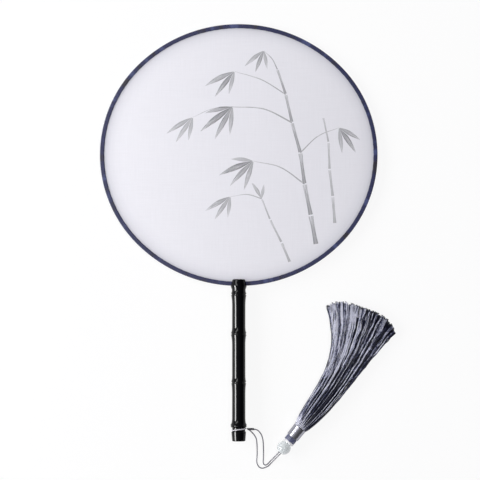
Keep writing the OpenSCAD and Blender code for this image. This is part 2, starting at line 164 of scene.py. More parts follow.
class CordSettings(bpy.types.PropertyGroup):
    """The doubled cord, its noose and its knot."""
    diameter: length_of("Diameter", "Diameter of the cord", 1.2)
    pitch: length_of("Strand pitch", "Distance between the doubled strands' middles", 1.9)
    ply_twist: length_of("Ply twist", "Length of one turn of the cord's plies", 5.7)
    colour: colour_of("Cord", "Grey lavender of the cord", "#76737F")
    # Painted light: the noose takes the cord's own colour painted lighter
    noose_painted_light: colour_of("Noose", "Pale lavender of the cord where it is painted lighter", "#DAD8E0")
    # Painted shade: the knot takes the cord's own colour painted darker
    knot_painted_shade: colour_of("Knot", "Dark grey of the knot's windings", "#56545E")


class TasselSettings(bpy.types.PropertyGroup):
    """Bead, cup, head, sleeve and threads."""
    bead_diameter: length_of("Bead", "Diameter of the bead", 13.2)
    cup_diameter: length_of("Cup", "Diameter of the bead cup", 11.2)
    sleeve_diameter: length_of("Sleeve", "Diameter of the sleeve at the head", 12.4)
    sleeve_mouth: length_of("Sleeve mouth", "Diameter of the sleeve at its mouth", 13.0)
    sleeve_length: length_of("Sleeve length", "Length of the sleeve", 12)
    thread_diameter: length_of("Thread", "Diameter that a thread is drawn at", 0.44)
    upper_wisps: count_of("Upper wisps", "Number of wisps of threads on the upper side", 190)
    lower_wisps: count_of("Lower wisps", "Number of wisps at the edges and below", 90)
    bead_colour: colour_of("Jade", "Pale grey green of the bead", "#DADEE0")
    cup_colour: colour_of("Cup colour", "White of the cup", "#F2F2F5")
    metal_colour: colour_of("Metal", "Colour of the sleeve's plating", "#B0B0BA")
    thread_dark: colour_of("Thread dark", "Darkest threads", "#0E1026")
    thread_middle: colour_of("Thread middle", "Slate blue of most threads", "#5D617F")
    thread_light: colour_of("Thread light", "Lightest threads", "#E4E5F4")


def settings(group):
    """One of the property groups above, on the scene."""
    return getattr(bpy.context.scene, "silk_fan_" + group)


# Materials. Where a node's sockets share a name they go by number: in Map Range 1 and 2 are the
# span that comes in and 3 and 4 the span that goes out, and in Mix 6 and 7 are the two colours.

def add_node(tree, kind, values=None, links=None, stops=None):
    """Adds a node, sets its fields and sockets, and links sockets to the nodes or outputs given."""
    node = tree.nodes.new("ShaderNode" + kind)
    for name, value in (values or {}).items():
        if isinstance(name, int) or name in node.inputs:
            node.inputs[name].default_value = value
        else:
            setattr(node, name, value)
    if stops:
        ramp = node.color_ramp.elements
        while len(ramp) < len(stops):
            ramp.new(1.0)
        for element, (place, colour) in zip(ramp, stops):
            element.position = place
            element.color = colour if hasattr(colour, "__len__") else (colour, colour, colour, 1.0)
    for name, source in (links or {}).items():
        tree.links.new(node.inputs[name], getattr(source, "outputs", [source])[0])
    return node


def finish(name, paint, *details):
    """The material of this name, which its paint function fills the first time it is asked for."""
    material = bpy.data.materials.get(name)
    if not material:
        material = bpy.data.materials.new(name)
        material.use_nodes = True
        tree = material.node_tree
        tree.nodes.clear()
        add = partial(add_node, tree)
        add("OutputMaterial", links={"Surface": paint(add, *details)})
    return material


# Blender's wave texture repeats every pi / (10 x scale) metres, so this gives 0.5 mm
FINE_WAVE = 628


def silk_surface(add):
    """Colour and weave of stretched silk gauze, with painted shade, shared with the ink that lies in
    it.
    """
    look = settings("face")
    place = add("TexCoord").outputs["Object"]
    parts = add("SeparateXYZ", links={0: place})
    # Painted shade: the silk's colour falls slowly from left to right, away from the key lamp
    across = add("MapRange", {1: -look.width / 2, 2: look.width / 2}, {0: parts.outputs["X"]})
    ground = add("Mix", {"data_type": "RGBA", 6: look.silk_colour, 7: look.silk_shade}, {0: across})
    # Slubs: threads that are thicker than the rest for 25 mm or so, a millimetre apart, both ways
    tones = []
    for scale in ((1100, 40, 1), (40, 1100, 1)):
        stretched = add("Mapping", {"Scale": scale}, {0: place})
        slub = add("TexNoise", {"Scale": 1.0, "Detail": 2.0}, {0: stretched})
        tones.append(add("MapRange", {1: 0.3, 2: 0.7, 3: 0.988, 4: 1.012}, {0: slub}))
    slubs = add("Math", {"operation": "MULTIPLY"}, {0: tones[0], 1: tones[1]})
    woven = add("VectorMath", {"operation": "SCALE"}, {0: ground.outputs[2], "Scale": slubs})
    # Painted shade: the rim stands between the silks, and its shade on the last two centimetres of
    # them is painted into their colour
    oval = add("Mapping", {"vector_type": "TEXTURE", "Location": tuple(FACE_CENTRE),
                           "Scale": (look.width / 2, look.height / 2, 1e6)}, {0: place})
    reach = add("VectorMath", {"operation": "LENGTH"}, {0: oval}).outputs["Value"]
    shade = add("ValToRGB", links={0: reach},
                stops=[(0.83, 0), (0.885, 0.06), (0.923, 0.2), (0.95, 0.42), (0.972, 1.0)])
    ground = add("Mix", {"data_type": "RGBA", 7: look.rim_shade}, {0: shade, 6: woven})
    # The weave itself, in relief: drawn 0.5 mm apart so that it shows
    weave = [add("TexWave", {"Scale": FINE_WAVE, "bands_direction": way}, {0: place})
             for way in "XY"]
    height = add("Math", {"operation": "ADD"}, {0: weave[0].outputs[1], 1: weave[1].outputs[1]})
    relief = add("Bump", {"Strength": 0.12, "Distance": 0.05 * MM}, {"Height": height})
    return {"Base Color": ground.outputs[2], "Normal": relief}


SILK_FINISH = {"Roughness": 0.55, "Sheen Weight": 0.15, "Specular IOR Level": 0.3}


def silk_gauze(add):
    """Woven silk gauze, stretched: soft white with a faint sheen and fine slubs."""
    return add("BsdfPrincipled", SILK_FINISH, silk_surface(add))


def brushed_ink(add):
    """Ink brushed on silk: strokes that pool at their edges, run dry and fade into the cloth."""
    look = settings("face")
    silk = silk_surface(add)
    parts = add("SeparateXYZ", links={0: add("UVMap", {"uv_map": "stroke"})})
    strength = add("Attribute", {"attribute_name": "ink"}).outputs["Fac"]
    # Bristle marks: streaks 0.3 mm across and about 10 mm long
    bristles = add("Mapping", {"Scale": (100, 3300, 1)}, {0: add("UVMap", {"uv_map": "brush"})})
    streak = add("TexNoise", {"Scale": 1.0, "Detail": 3.0, "Roughness": 0.6}, {0: bristles})
    # Across the stroke: nothing at the very edge, a darker line just inside it, paler in the middle
    side = add("Math", {"operation": "PINGPONG", 1: 0.5}, {0: parts.outputs["Y"]})
    edge = add("ValToRGB", links={0: side},
               stops=[(0.0, 0), (0.06, 0), (0.16, 1.0), (0.26, 0.78), (0.5, 0.66)])
    # Towards its end a stroke runs dry, so the streaks open
    dry = add("MapRange", {1: 0.0, 2: 1.0, 3: 0.30, 4: 0.52}, {0: parts.outputs["X"]})
    gap = add("Math", {"operation": "SUBTRACT"}, {0: streak, 1: dry})
    brush = add("MapRange", {1: -0.08, 2: 0.10, 3: 0.25, 4: 1.0}, {0: gap})
    cover = add("Math", {"operation": "MULTIPLY"}, {0: edge, 1: brush})
    # Thinned ink covers less of the cloth
    body = add("MapRange", {1: 0.0, 2: 0.25, 3: 0.0, 4: 1.0}, {0: strength})
    cover = add("Math", {"operation": "MULTIPLY"}, {0: cover, 1: body})
    tone = add("Mix", {"data_type": "RGBA", 6: look.ink_pale, 7: look.ink_dark}, {0: strength})
    inked = add("Mix", {"data_type": "RGBA"}, {0: cover, 6: silk["Base Color"], 7: tone.outputs[2]})
    return add("BsdfPrincipled", SILK_FINISH, {**silk, "Base Color": inked.outputs[2]})


def satin_ribbon(add):
    """Space-dyed satin ribbon: navy that drifts to charcoal and periwinkle, fine ribs across it."""
    look = settings("face")
    along = add("UVMap", {"uv_map": "ribbon"})
    # Dyed stretches 8 to 25 mm long
    patch = add("Mapping", {"Scale": (55, 20, 1)}, {0: along})
    drift = add("TexNoise", {"Scale": 1.0, "Detail": 2.5, "Roughness": 0.55}, {0: patch})
    coloured = add("ValToRGB", links={0: drift},
               stops=[(0.38, look.charcoal), (0.46, look.navy), (0.55, look.navy),
                      (0.64, look.periwinkle)])
    # Ribs 0.5 mm apart across the ribbon, and single threads 0.25 mm wide along it
    ribs = add("TexWave",
               {"Scale": FINE_WAVE, "bands_direction": "X", "Distortion": 0.6}, {0: along})
    fine = add("Mapping", {"Scale": (250, 4000, 1)}, {0: along})
    threads = add("TexNoise", {"Scale": 1.0, "Detail": 2.0}, {0: fine})
    tone = add("MapRange", {1: 0.3, 2: 0.7, 3: 0.75, 4: 1.3}, {0: threads})
    woven = add("VectorMath", {"operation": "SCALE"}, {0: coloured, "Scale": tone})
    height = add("Math", {"operation": "ADD"}, {0: ribs.outputs[1], 1: threads})
    relief = add("Bump", {"Strength": 0.5, "Distance": 0.06 * MM}, {"Height": height})
    return add("BsdfPrincipled",
               {"Roughness": 0.5, "Sheen Weight": 0.1, "Specular IOR Level": 0.35},
               {"Base Color": woven, "Normal": relief})


def black_lacquer(add):
    """Black lacquer on carved wood: deep gloss with the faint ripple of brushed coats."""
    place = add("TexCoord").outputs["Object"]
    # Ripple of the brushed coats, 2 to 6 mm long
    long = add("Mapping", {"Scale": (600, 170, 600)}, {0: place})
    ripple = add("TexNoise", {"Scale": 1.0, "Detail": 1.0}, {0: long})
    # Fingermarks about 11 mm wide, which dull the gloss
    marks = add("TexNoise", {"Scale": 90.0, "Detail": 3.0}, {0: place})
    gloss = add("MapRange", {1: 0.3, 2: 0.75, 3: 0.05, 4: 0.09}, {0: marks})
    tint = add("Mix", {"data_type": "RGBA", 6: settings("handle").lacquer, 7: linear("#060609")},
               {0: marks})
    relief = add("Bump", {"Strength": 0.12, "Distance": 0.1 * MM}, {"Height": ripple})
    return add("BsdfPrincipled", {"IOR": 1.3},
               {"Base Color": tint.outputs[2], "Roughness": gloss, "Normal": relief})


def split_bamboo(add):
    """Split bamboo strip: straw with flecks of fibre a millimetre wide and a satin skin."""
    place = add("TexCoord").outputs["Object"]
    fibre = add("TexNoise", {"Scale": 900.0, "Detail": 3.0}, {0: place})
    straw = add("ValToRGB", links={0: fibre},
                stops=[(0.3, linear("#B08F55")), (0.7, linear("#D5BA82"))])
    relief = add("Bump", {"Strength": 0.3, "Distance": 0.1 * MM}, {"Height": fibre})
    return add("BsdfPrincipled", {"Roughness": 0.45}, {"Base Color": straw, "Normal": relief})


def rayon_cord(add, colour):
    """Twisted rayon cord: satin plies, with painted shade in the grooves where they meet."""
    along = add("UVMap", {"uv_map": "cord"})
    depth = add("Attribute", {"attribute_name": "crest"}).outputs["Fac"]
    # Filaments: the map runs from 0 to 1 round the cord's 3.8 mm, so each is about 0.12 mm wide
    fine = add("Mapping", {"Scale": (30, 31, 1), "Rotation": (0, 0, 0.35)}, {0: along})
    filament = add("TexNoise", {"Scale": 1.0, "Detail": 2.0}, {0: fine})
    # Painted shade and light: the colour goes almost black in the grooves between the plies and
    # lighter on their crests
    painted_lighting = add("MapRange", {1: 0.0, 2: 1.0, 3: 0.06, 4: 1.3}, {0: depth})
    vary = add("MapRange", {1: 0.3, 2: 0.7, 3: 0.85, 4: 1.12}, {0: filament})
    tone = add("Math", {"operation": "MULTIPLY"}, {0: painted_lighting, 1: vary})
    coloured = add("VectorMath", {"operation": "SCALE", 0: colour[:3]}, {"Scale": tone})
    relief = add("Bump", {"Strength": 0.4, "Distance": 0.05 * MM}, {"Height": filament})
    return add("BsdfPrincipled", {"Roughness": 0.38, "Sheen Weight": 0.1},
               {"Base Color": coloured, "Normal": relief})


def pale_jade(add):
    """Pale polished jade: faint clouds about 4 mm wide under a waxy shine, with no dark side."""
    place = add("TexCoord").outputs["Object"]
    cloud = add("TexNoise", {"Scale": 260.0, "Detail": 4.0, "Distortion": 0.8}, {0: place})
    stone = add("ValToRGB", links={0: cloud},
                stops=[(0.32, linear("#D6DADC")), (0.55, settings("tassel").bead_colour),
                       (0.78, linear("#E0E3E5"))])
    return add("BsdfPrincipled", {"Roughness": 0.12, "IOR": 1.34, "Diffuse Roughness": 1.0},
               {"Base Color": stone})


def white_plastic(add):
    """Moulded white plastic: a glossy skin with a haze in patches 2.5 mm wide."""
    place = add("TexCoord").outputs["Object"]
    haze = add("TexNoise", {"Scale": 400.0, "Detail": 2.0}, {0: place})
    tint = add("Mix", {"data_type": "RGBA", 6: linear("#EAEAEF"), 7: settings("tassel").cup_colour},
               {0: haze})
    gloss = add("MapRange", {1: 0.3, 2: 0.7, 3: 0.15, 4: 0.24}, {0: haze})
    return add("BsdfPrincipled", {"IOR": 1.49}, {"Base Color": tint.outputs[2], "Roughness": gloss})


def plated_metal(add):
    """Plated metal sleeve, polished round: bright with hairlines round it."""
    place = add("TexCoord").outputs["Object"]
    # Hairlines 0.2 mm apart that run round the sleeve, so they change only along its axis
    angle = math.atan2(TASSEL_AXIS.y, TASSEL_AXIS.x)
    turned = add("Mapping", {"Rotation": (0, 0, -angle), "Scale": (5000, 60, 60)}, {0: place})
    hair = add("TexNoise", {"Scale": 1.0, "Detail": 1.0}, {0: turned})
    gloss = add("MapRange", {1: 0.3, 2: 0.7, 3: 0.24, 4: 0.3}, {0: hair})
    relief = add("Bump", {"Strength": 0.02, "Distance": 0.01 * MM}, {"Height": hair})
    return add("BsdfPrincipled",
               {"Metallic": 1.0, "Base Color": settings("tassel").metal_colour,
                "Specular Tint": linear("#8C8C94")},
               {"Roughness": gloss, "Normal": relief})


def rayon_thread(add):
    """Rayon embroidery thread: each has its own tone, which holds painted shade in the hollows, with
    painted glints and dark dashes on its crimps.
    """
    look = settings("tassel")
    tone = add("Attribute", {"attribute_name": "tone"}).outputs["Fac"]
    along = add("UVMap", {"uv_map": "thread"})
    # Painted glints and painted shade on the crimps: bright and dark dashes 1 to 4 mm long along each
    # thread
    dash = add("Mapping", {"Scale": (420, 1.0, 1)}, {0: along})
    painted_glint = add("TexNoise", {"Scale": 1.0, "Detail": 2.0, "Roughness": 0.6}, {0: dash})
    swing = add("MapRange", {1: 0.3, 2: 0.7, 3: -0.24, 4: 0.24}, {0: painted_glint})
    # The painted glints are faint where the threads lie smooth under the sleeve and grow from 1 to 8
    # cm along
    reach = add("SeparateXYZ", links={0: along})
    glint_growth = add("MapRange", {1: 0.01, 2: 0.08, 3: 0.3, 4: 1.0}, {0: reach.outputs["X"]})
    swing = add("Math", {"operation": "MULTIPLY"}, {0: swing, 1: glint_growth})
    mixed = add("Math", {"operation": "ADD"}, {0: tone, 1: swing})
    coloured = add("ValToRGB", links={0: mixed},
               stops=[(0.26, look.thread_dark), (0.40, linear("#262A4C")),
                      (0.52, look.thread_middle), (0.64, linear("#ADB0CC")),
                      (0.78, look.thread_light)])
    return add("BsdfPrincipled", {"Roughness": 0.36, "Specular IOR Level": 0.5},
               {"Base Color": coloured})


# Share of the table's white that is its own, so that the rest still takes the object's shadow
PAPER_GLOW = 0.86


def white_paper(add):
    """White seamless paper: its own white for the eye, and the object's shadow on it."""
    rays = add("LightPath")
    seen = rays.outputs["Is Camera Ray"]
    for kind in ("Is Glossy Ray", "Is Transmission Ray"):
        seen = add("Math", {"operation": "MAXIMUM"}, {0: seen, 1: rays.outputs[kind]})
    share = add("Math", {"operation": "MULTIPLY", 1: PAPER_GLOW}, {0: seen})
    paper = add("BsdfDiffuse", {"Color": linear("#F4F4F6")})
    glow = add("Emission", {"Strength": 1.0})
    return add("MixShader", links={0: share, 1: paper, 2: glow})


# Modelling helpers

def deselect_all():
    """Leaves nothing selected, because an operator acts on all that is."""
    for thing in list(bpy.context.selected_objects):
        thing.select_set(False)


def pick(piece):
    """Selects one piece alone and makes it the active one."""
    deselect_all()
    bpy.context.view_layer.objects.active = piece
    piece.select_set(True)


def dress(piece, material, slot, body, *nodes):
    """Gives a piece its material, the body it rides on and the nodes it stands for. Its slot is not
    used.
    """
    piece.data.materials.clear()
    piece.data.materials.append(material)
    if body:
        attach(piece, body)
    if nodes:
        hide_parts(*nodes)
    return piece


# Edges that turn more than this stay sharp
SMOOTH_ANGLE = math.radians(38)
# Points closer than this are one
MERGE = 0.001 * MM


def lathe(name, outline, place, sides, bored, shape=None):
    """Turns a piece: a circle is extruded and scaled from one (radius, height) to the next."""
    deselect_all()
    radius, height = outline[0]
    bpy.ops.mesh.primitive_circle_add(vertices=sides, radius=radius, location=(0, 0, height),
                                      fill_type="NOTHING" if bored else "NGON")
    piece = bpy.context.object
    piece.name = name
    bpy.ops.object.mode_set(mode="EDIT")
    bpy.ops.mesh.select_all(action="SELECT")
    for new_radius, new_height in outline[1:]:
        rise = (0, 0, new_height - height)
        bpy.ops.mesh.extrude_region_move(TRANSFORM_OT_translate={"value": rise})
        size = new_radius / radius
        bpy.ops.transform.resize(value=(size, size, 1), center_override=(0, 0, new_height))
        radius, height = new_radius, new_height
    close_mesh()
    bpy.ops.object.transform_apply(location=True, rotation=True, scale=True)
    if shape:
        for vertex in piece.data.vertices:
            vertex.co = shape(vertex.co)
    piece.data.transform(place)
    bpy.ops.object.shade_smooth_by_angle(angle=SMOOTH_ANGLE)
    return piece


def close_mesh():
    """Merges points that meet, turns the faces outwards and leaves edit mode."""
    bpy.ops.mesh.select_all(action="SELECT")
    bpy.ops.mesh.remove_doubles(threshold=MERGE)
    bpy.ops.mesh.normals_make_consistent(inside=False)
    bpy.ops.object.mode_set(mode="OBJECT")


def rounded(x, y, radius, start, end, steps):
    """Points of a round corner, from one angle in degrees to another."""
    angles = [math.radians(start + (end - start) * k / steps) for k in range(steps + 1)]
    return [(x + radius * math.cos(a), y + radius * math.sin(a)) for a in angles]


def mesh_piece(name, points, faces):
    """A new object from points and faces, smooth shaded."""
    mesh = bpy.data.meshes.new(name)
    mesh.from_pydata([tuple(p) for p in points], [], faces)
    mesh.validate()
    mesh.polygons.foreach_set("use_smooth", [True] * len(mesh.polygons))
    piece = bpy.data.objects.new(name, mesh)
    bpy.context.scene.collection.objects.link(piece)
    return piece


def walls(rings, sides, first=0, closed=False):
    """Faces between rings of points that follow one another."""
    faces = []
    for i in range(rings if closed else rings - 1):
        near, far = first + i * sides, first + (i + 1) % rings * sides
        for k in range(sides):
            m = (k + 1) % sides
            faces.append((near + k, near + m, far + m, far + k))
    return faces


def caps(rings, sides):
    """The two end faces of a tube of such rings."""
    return [tuple(range(sides))[::-1], tuple((rings - 1) * sides + k for k in range(sides))]


def inside_out(faces):
    """The same walls turned the other way round."""
    return [(a, d, c, b) for a, b, c, d in faces]


def set_uv(piece, name, pairs):
    """Writes a UV map from one pair for each vertex."""
    layer = piece.data.uv_layers.new(name=name)
    corners = np.zeros(len(piece.data.loops), dtype=np.int32)
    piece.data.loops.foreach_get("vertex_index", corners)
    layer.data.foreach_set("uv", np.asarray(pairs, dtype=np.float32)[corners].ravel())


def set_attribute(piece, name, values):
    """Writes one number for each vertex."""
    layer = piece.data.attributes.new(name, "FLOAT", "POINT")
    layer.data.foreach_set("value", np.asarray(values, dtype=np.float32))


def smooth_line(points, step):
    """A smooth line through the points, with one point for each step of its length."""
    count = len(points)
    line = []
    for i in range(count - 1):
        b, c = points[i], points[i + 1]
        a = points[i - 1] if i else b + b - c
        d = points[i + 2] if i + 2 < count else c + c - b
        parts = max(1, round((c - b).length / step))
        for k in range(parts):
            t = k / parts
            line.append(0.5 * (2 * b + (c - a) * t + (2 * a - 5 * b + 4 * c - d) * t * t
                               + (3 * b - 3 * c + d - a) * t ** 3))
    return line + [points[-1]]


def line_length(line):
    """The length of a line of points."""
    return sum((b - a).length for a, b in zip(line, line[1:]))


PLIES = 3
PLY_RELIEF = 0.13
CORD_SIDES = 12


def twisted_tube(name, line, radius, closed=False):
    """A tube along a line whose section has a lobe for each ply and turns as it goes."""
    twist = settings("cord").ply_twist
    count, sides = len(line), CORD_SIDES
    run = 0.0
    side = None
    points, pairs, crests = [], [], []
    total = line_length(line + line[:1] if closed else line)
    # A closed tube takes a whole number of turns, so that its plies meet
    turn = round(total / twist) * 2 * math.pi / total if closed else 2 * math.pi / twist
    for i, middle in enumerate(line):
        ahead = line[(i + 1) % count] if closed or i + 1 < count else middle
        behind = line[i - 1] if closed or i else middle
        way = (ahead - behind).normalized()
        if side is None:
            side = way.orthogonal().normalized()
        side = (side - side.dot(way) * way).normalized()
        other = way.cross(side)
        for k in range(sides):
            a = 2 * math.pi * k / sides
            crest = abs(math.cos(a * PLIES / 2))
            reach = radius * (1 - PLY_RELIEF * (1 - crest))
            b = a + turn * run
            points.append(middle + reach * (math.cos(b) * side + math.sin(b) * other))
            pairs.append((run, k / sides))
            crests.append(crest)
        if i + 1 < count:
            run += (line[i + 1] - middle).length
    faces = walls(count, sides, closed=closed) + ([] if closed else caps(count, sides))
    piece = mesh_piece(name, points, faces)
    set_uv(piece, "cord", pairs)
    set_attribute(piece, "crest", crests)
    return piece


# Face

def oval_outline(steps):
    """The rim's outer edge as (point, way out, distance along), from the handle and round again."""
    # An oval of four quarter arcs: two of one radius at the ends, two of another on the flanks
    look = settings("face")
    a, b = look.width / 2, look.height / 2
    gap = (a - b) / (math.sqrt(2) - 1)
    end_radius = b - gap * (1 - math.sqrt(0.5))
    flank_radius = end_radius + gap
    shift = a - end_radius
    drop = flank_radius - b
    found, run, last = [], 0.0, None
    for k in range(steps):
        angle = 2 * math.pi * k / steps - math.pi / 2
        out = Vector((math.cos(angle), math.sin(angle), 0))
        if abs(out.x) > abs(out.y):
            point = Vector((math.copysign(shift, out.x), 0, 0)) + end_radius * out
        else:
            point = Vector((0, -math.copysign(drop, out.y), 0)) + flank_radius * out
        run += (point - last).length if last else 0.0
        last = point
        found.append((point, out, run))
    return found


SILK_SEGMENTS = 180
SILK_RINGS = 24


def silk_sheet(name, side):
    """One stretched silk layer: rings from the middle to the edge, given its thickness after."""
    look = settings("face")
    outline = oval_outline(SILK_SEGMENTS)
    height = side * (look.hoop_thickness + look.silk_thickness) / 2
    points = [Vector((0, 0, height))]
    for ring in range(1, SILK_RINGS + 1):
        share = math.sin(math.pi / 2 * ring / SILK_RINGS)
        points += [(point - look.silk_inset * out) * share + Vector((0, 0, height))
                   for point, out, _ in outline]
    faces = [(0, 1 + k, 1 + (k + 1) % SILK_SEGMENTS) for k in range(SILK_SEGMENTS)]
    faces += inside_out(walls(SILK_RINGS, SILK_SEGMENTS, first=1))
    piece = mesh_piece(name, [FAN @ p for p in points], faces)
    thicken(piece, look.silk_thickness)
    return piece


def thicken(piece, thickness):
    """Gives a sheet its thickness, half on each side, and applies it."""
    pick(piece)
    wall = piece.modifiers.new("thickness", "SOLIDIFY")
    wall.thickness = thickness
    wall.offset = 0
    bpy.ops.object.modifier_apply(modifier=wall.name)


RIBBON_SEGMENTS = 360
FOLD_RADIUS = 0.35 * MM
# Gathers along the ribbon's edges: the length of each wave and where it starts
GATHER_WAVES = ((4.6 * MM, 0), (2.9001 * MM, 0), (7.1 * MM, 1))


def ribbon_profile():
    """The folded ribbon's middle line: (distance in from the outer edge, height), front to back."""
    look = settings("face")
    half = look.ribbon_thickness / 2
    top = look.hoop_thickness / 2 + look.silk_thickness + half
    fold = FOLD_RADIUS
    front = [(look.ribbon_width, top), (look.ribbon_width * 0.84, top + 0.03 * MM),
             (look.ribbon_width * 0.55, top), (look.ribbon_width * 0.3, top)]
    corner = [(half + fold - fold * math.sin(a), top - fold + fold * math.cos(a))
              for a in (0, math.pi / 6, math.pi / 3, math.pi / 2)]
    down = front + corner + [(half, top * 0.4)]
    return down + [(x, -z) for x, z in reversed(down)]


# Ink: bamboo sprigs, drawn on the face's own frame in millimetres from its middle

# Each stem: its points from the foot up, its width at the foot and at the tip, and its tone
STEMS = [
    ([(74, -86), (69, -58), (63, -28), (59, 2), (51, 31), (45, 58), (37, 82)], 3.4, 1.5, 0.62),
    ([(92, -66), (90, -40), (87, -14), (86, 12), (81, 36)], 2.2, 1.0, 0.3),
    ([(49, -103), (41, -84), (30, -62), (22, -42)], 1.9, 0.8, 0.35),
]
# Each twig: foot, middle, tip, width and tone
TWIGS = [
    ((63, -28), (40, -12), (14, -6), 1.0, 0.5), ((59, 2), (76, 18), (96, 26), 0.9, 0.45),
    ((51, 31), (24, 44), (-6, 46), 1.1, 0.55), ((45, 58), (22, 72), (-4, 80), 0.9, 0.4),
    ((22, -42), (8, -38), (-8, -40), 0.8, 0.4), ((37, 82), (32, 92), (24, 100), 0.9, 0.5),
    ((-6, 46), (-26, 44), (-44, 36), 0.7, 0.35),
]
# Each sprig: where its leaves meet, then the (way in degrees, length, width, tone) of each leaf
SPRIGS = [
    ((14, -6), [(196, 34, 4.6, 0.8), (222, 30, 4.2, 0.62), (250, 26, 3.8, 0.45), (168, 22, 3.2, 0.3)]),
    ((-6, 46), [(212, 36, 4.8, 0.85), (238, 32, 4.4, 0.6), (264, 24, 3.6, 0.42), (186, 26, 3.6, 0.5)]),
    ((-4, 80), [(200, 30, 4.2, 0.55), (228, 28, 4.0, 0.75), (254, 20, 3.2, 0.35)]),
    ((96, 26), [(-24, 22, 3.6, 0.5), (-52, 26, 4.0, 0.7), (-82, 22, 3.4, 0.35)]),
    ((24, 100), [(214, 22, 3.4, 0.42), (246, 20, 3.2, 0.6), (282, 16, 2.8, 0.3)]),
    ((-8, -40), [(204, 26, 3.8, 0.55), (232, 24, 3.6, 0.4), (262, 18, 3.0, 0.3)]),
    ((-44, 36), [(206, 28, 3.8, 0.45), (232, 26, 3.8, 0.3), (258, 20, 3.2, 0.38)]),
    ((22, -42), [(118, 20, 3.0, 0.35), (82, 16, 2.6, 0.25)]),
]
STROKE_STEPS = 18
# Gap in mm that a stem's joint leaves on each side
JOINT_GAP = 0.7
# Shares of a stroke's width at even steps along it
STEM_WIDTHS = [1.16, 0.94, 0.9, 0.94, 1.2]
TWIG_WIDTHS = [1.1, 0.9, 0.75, 0.6, 0.4]
LEAF_WIDTHS = [0.12, 0.62, 1.0, 0.92, 0.55, 0.06]
# Strokes are this much wider than the widths above, because their edges fade
SOFT_EDGE = 1.45
# The ink lies this far above the silk, and strokes that cross lie a little above one another
INK_LIFT = 0.02 * MM
INK_LAYER = 0.012 * MM
ACROSS_STROKE = (-1, -0.5, 0, 0.5, 1)


def leaf_line(root, way, length):
    """A leaf's middle line, which droops a little towards its tip."""
    a = math.radians(way)
    along = Vector((math.cos(a), math.sin(a), 0))
    droop = Vector((0, -0.12 * length, 0))
    foot = Vector((*root, 0))
    return [foot + along * length * t + droop * t * t for t in (0.03, 0.3, 0.6, 0.85, 1.0)]


def ink_strokes():
    """Every stroke as (points in mm, shares of its width at even steps, width in mm, tone)."""
    strokes = []
    for points, foot, tip, tone in STEMS:
        last = len(points) - 1
        for i in range(last):
            a, b = Vector((*points[i], 0)), Vector((*points[i + 1], 0))
            wide = foot + (tip - foot) * i / last
            gap = (b - a).normalized() * JOINT_GAP
            strokes.append(([a + gap, (a + b) / 2, b - gap], STEM_WIDTHS, wide, tone))
    for foot, middle, tip, wide, tone in TWIGS:
        line = [Vector((*p, 0)) for p in (foot, middle, tip)]
        strokes.append((line, TWIG_WIDTHS, wide, tone))
    for root, leaves in SPRIGS:
        for way, length, wide, tone in leaves:
            strokes.append((leaf_line(root, way, length), LEAF_WIDTHS, wide, tone))
    return strokes


def build_ink():
    """All the strokes as one thin layer on the front silk."""
    look = settings("face")
    height = look.hoop_thickness / 2 + look.silk_thickness + INK_LIFT
    points, faces, stroke_pairs, brush_pairs, tones = [], [], [], [], []
    for number, (line, widths, wide, tone) in enumerate(ink_strokes()):
        total = line_length(line)
        line = smooth_line(line, total / STROKE_STEPS)
        start, last = len(points), len(line) - 1
        layer = height + INK_LAYER * (number % 4)
        for i, middle in enumerate(line):
            way = (line[min(i + 1, last)] - line[max(i - 1, 0)]).normalized()
            out = Vector((-way.y, way.x, 0))
            t = i / last
            share = float(np.interp(t, np.linspace(0, 1, len(widths)), widths))
            half = SOFT_EDGE * wide * share / 2
            for across in ACROSS_STROKE:
                spot = (middle + across * half * out) * MM
                points.append(FAN @ Vector((spot.x, spot.y, layer)))
                stroke_pairs.append((t, (across + 1) / 2))
                # Each stroke's bristle marks come from another part of the pattern
                brush_pairs.append((t * total * MM + number * 0.11,
                                    across * half * MM + number * 0.07))
                tones.append(tone)
        row = len(ACROSS_STROKE)
        for i in range(last):
            for k in range(row - 1):
                a = start + i * row + k
                faces.append((a, a + row, a + row + 1, a + 1))
    piece = mesh_piece("ink_sprigs", points, faces)
    set_uv(piece, "stroke", stroke_pairs)
    set_uv(piece, "brush", brush_pairs)
    set_attribute(piece, "ink", tones)
    return piece


# Handle

# Places of the carved joints from the head down and the heights that they stand out, in mm
CARVED_JOINTS = [(14.7, 0.95), (52.41, 1.05), (98.92, 0.7), (140.39, 1.55)]
# One carved joint: distance past its crest in mm, share of its rise, share of the ring's cut
JOINT_SWELL = [(-7.0, 0.0, 0), (-5.0, 0.1, 0), (-3.2, 0.27, 0), (-2.0, 0.6, 0), (-1.3, 0.86, 0),
               (-0.9, 0.97, 0), (-0.7, 0.98, 0.25), (-0.35, 1.0, 0.9), (0.0, 1.0, 1.0),
               (0.35, 1.0, 0.9), (0.7, 0.98, 0.25), (0.9, 0.95, 0), (1.5, 0.82, 0), (2.4, 0.6, 0),
               (4.0, 0.36, 0), (5.5, 0.2, 0), (7.8, 0.07, 0), (10.0, 0.0, 0)]
# Depth in mm of the ring cut round each crest
RING_CUT = 0.5
# The noose's groove: its ends in mm from the head, its radius, and the step out to the butt
GROOVE = (142.1, 145.4)
GROOVE_RADIUS = 6.3
GROOVE_STEP = [(6.75, 145.75), (7.05, 146.1)]
# The head cuts the first joint's swell short and the groove the last one's, in mm past the crest
FIRST_JOINT_START = -3.5
LAST_JOINT_END = 1.0
HEAD_EDGE = 1.2
BUTT_EDGE = 0.9
HANDLE_SIDES = 96
SLOT_GAP = 0.1 * MM
PIN_HOLE_RADIUS = 0.73 * MM
PIN_SPACING = 6.0 * MM
# Distance from the rim's outer edge to the pins
PIN_PLACE = 1.95 * MM
# The cutters reach past the handle on every side
CUTTER_REACH = 40 * MM
CUTTER_MARGIN = 1 * MM


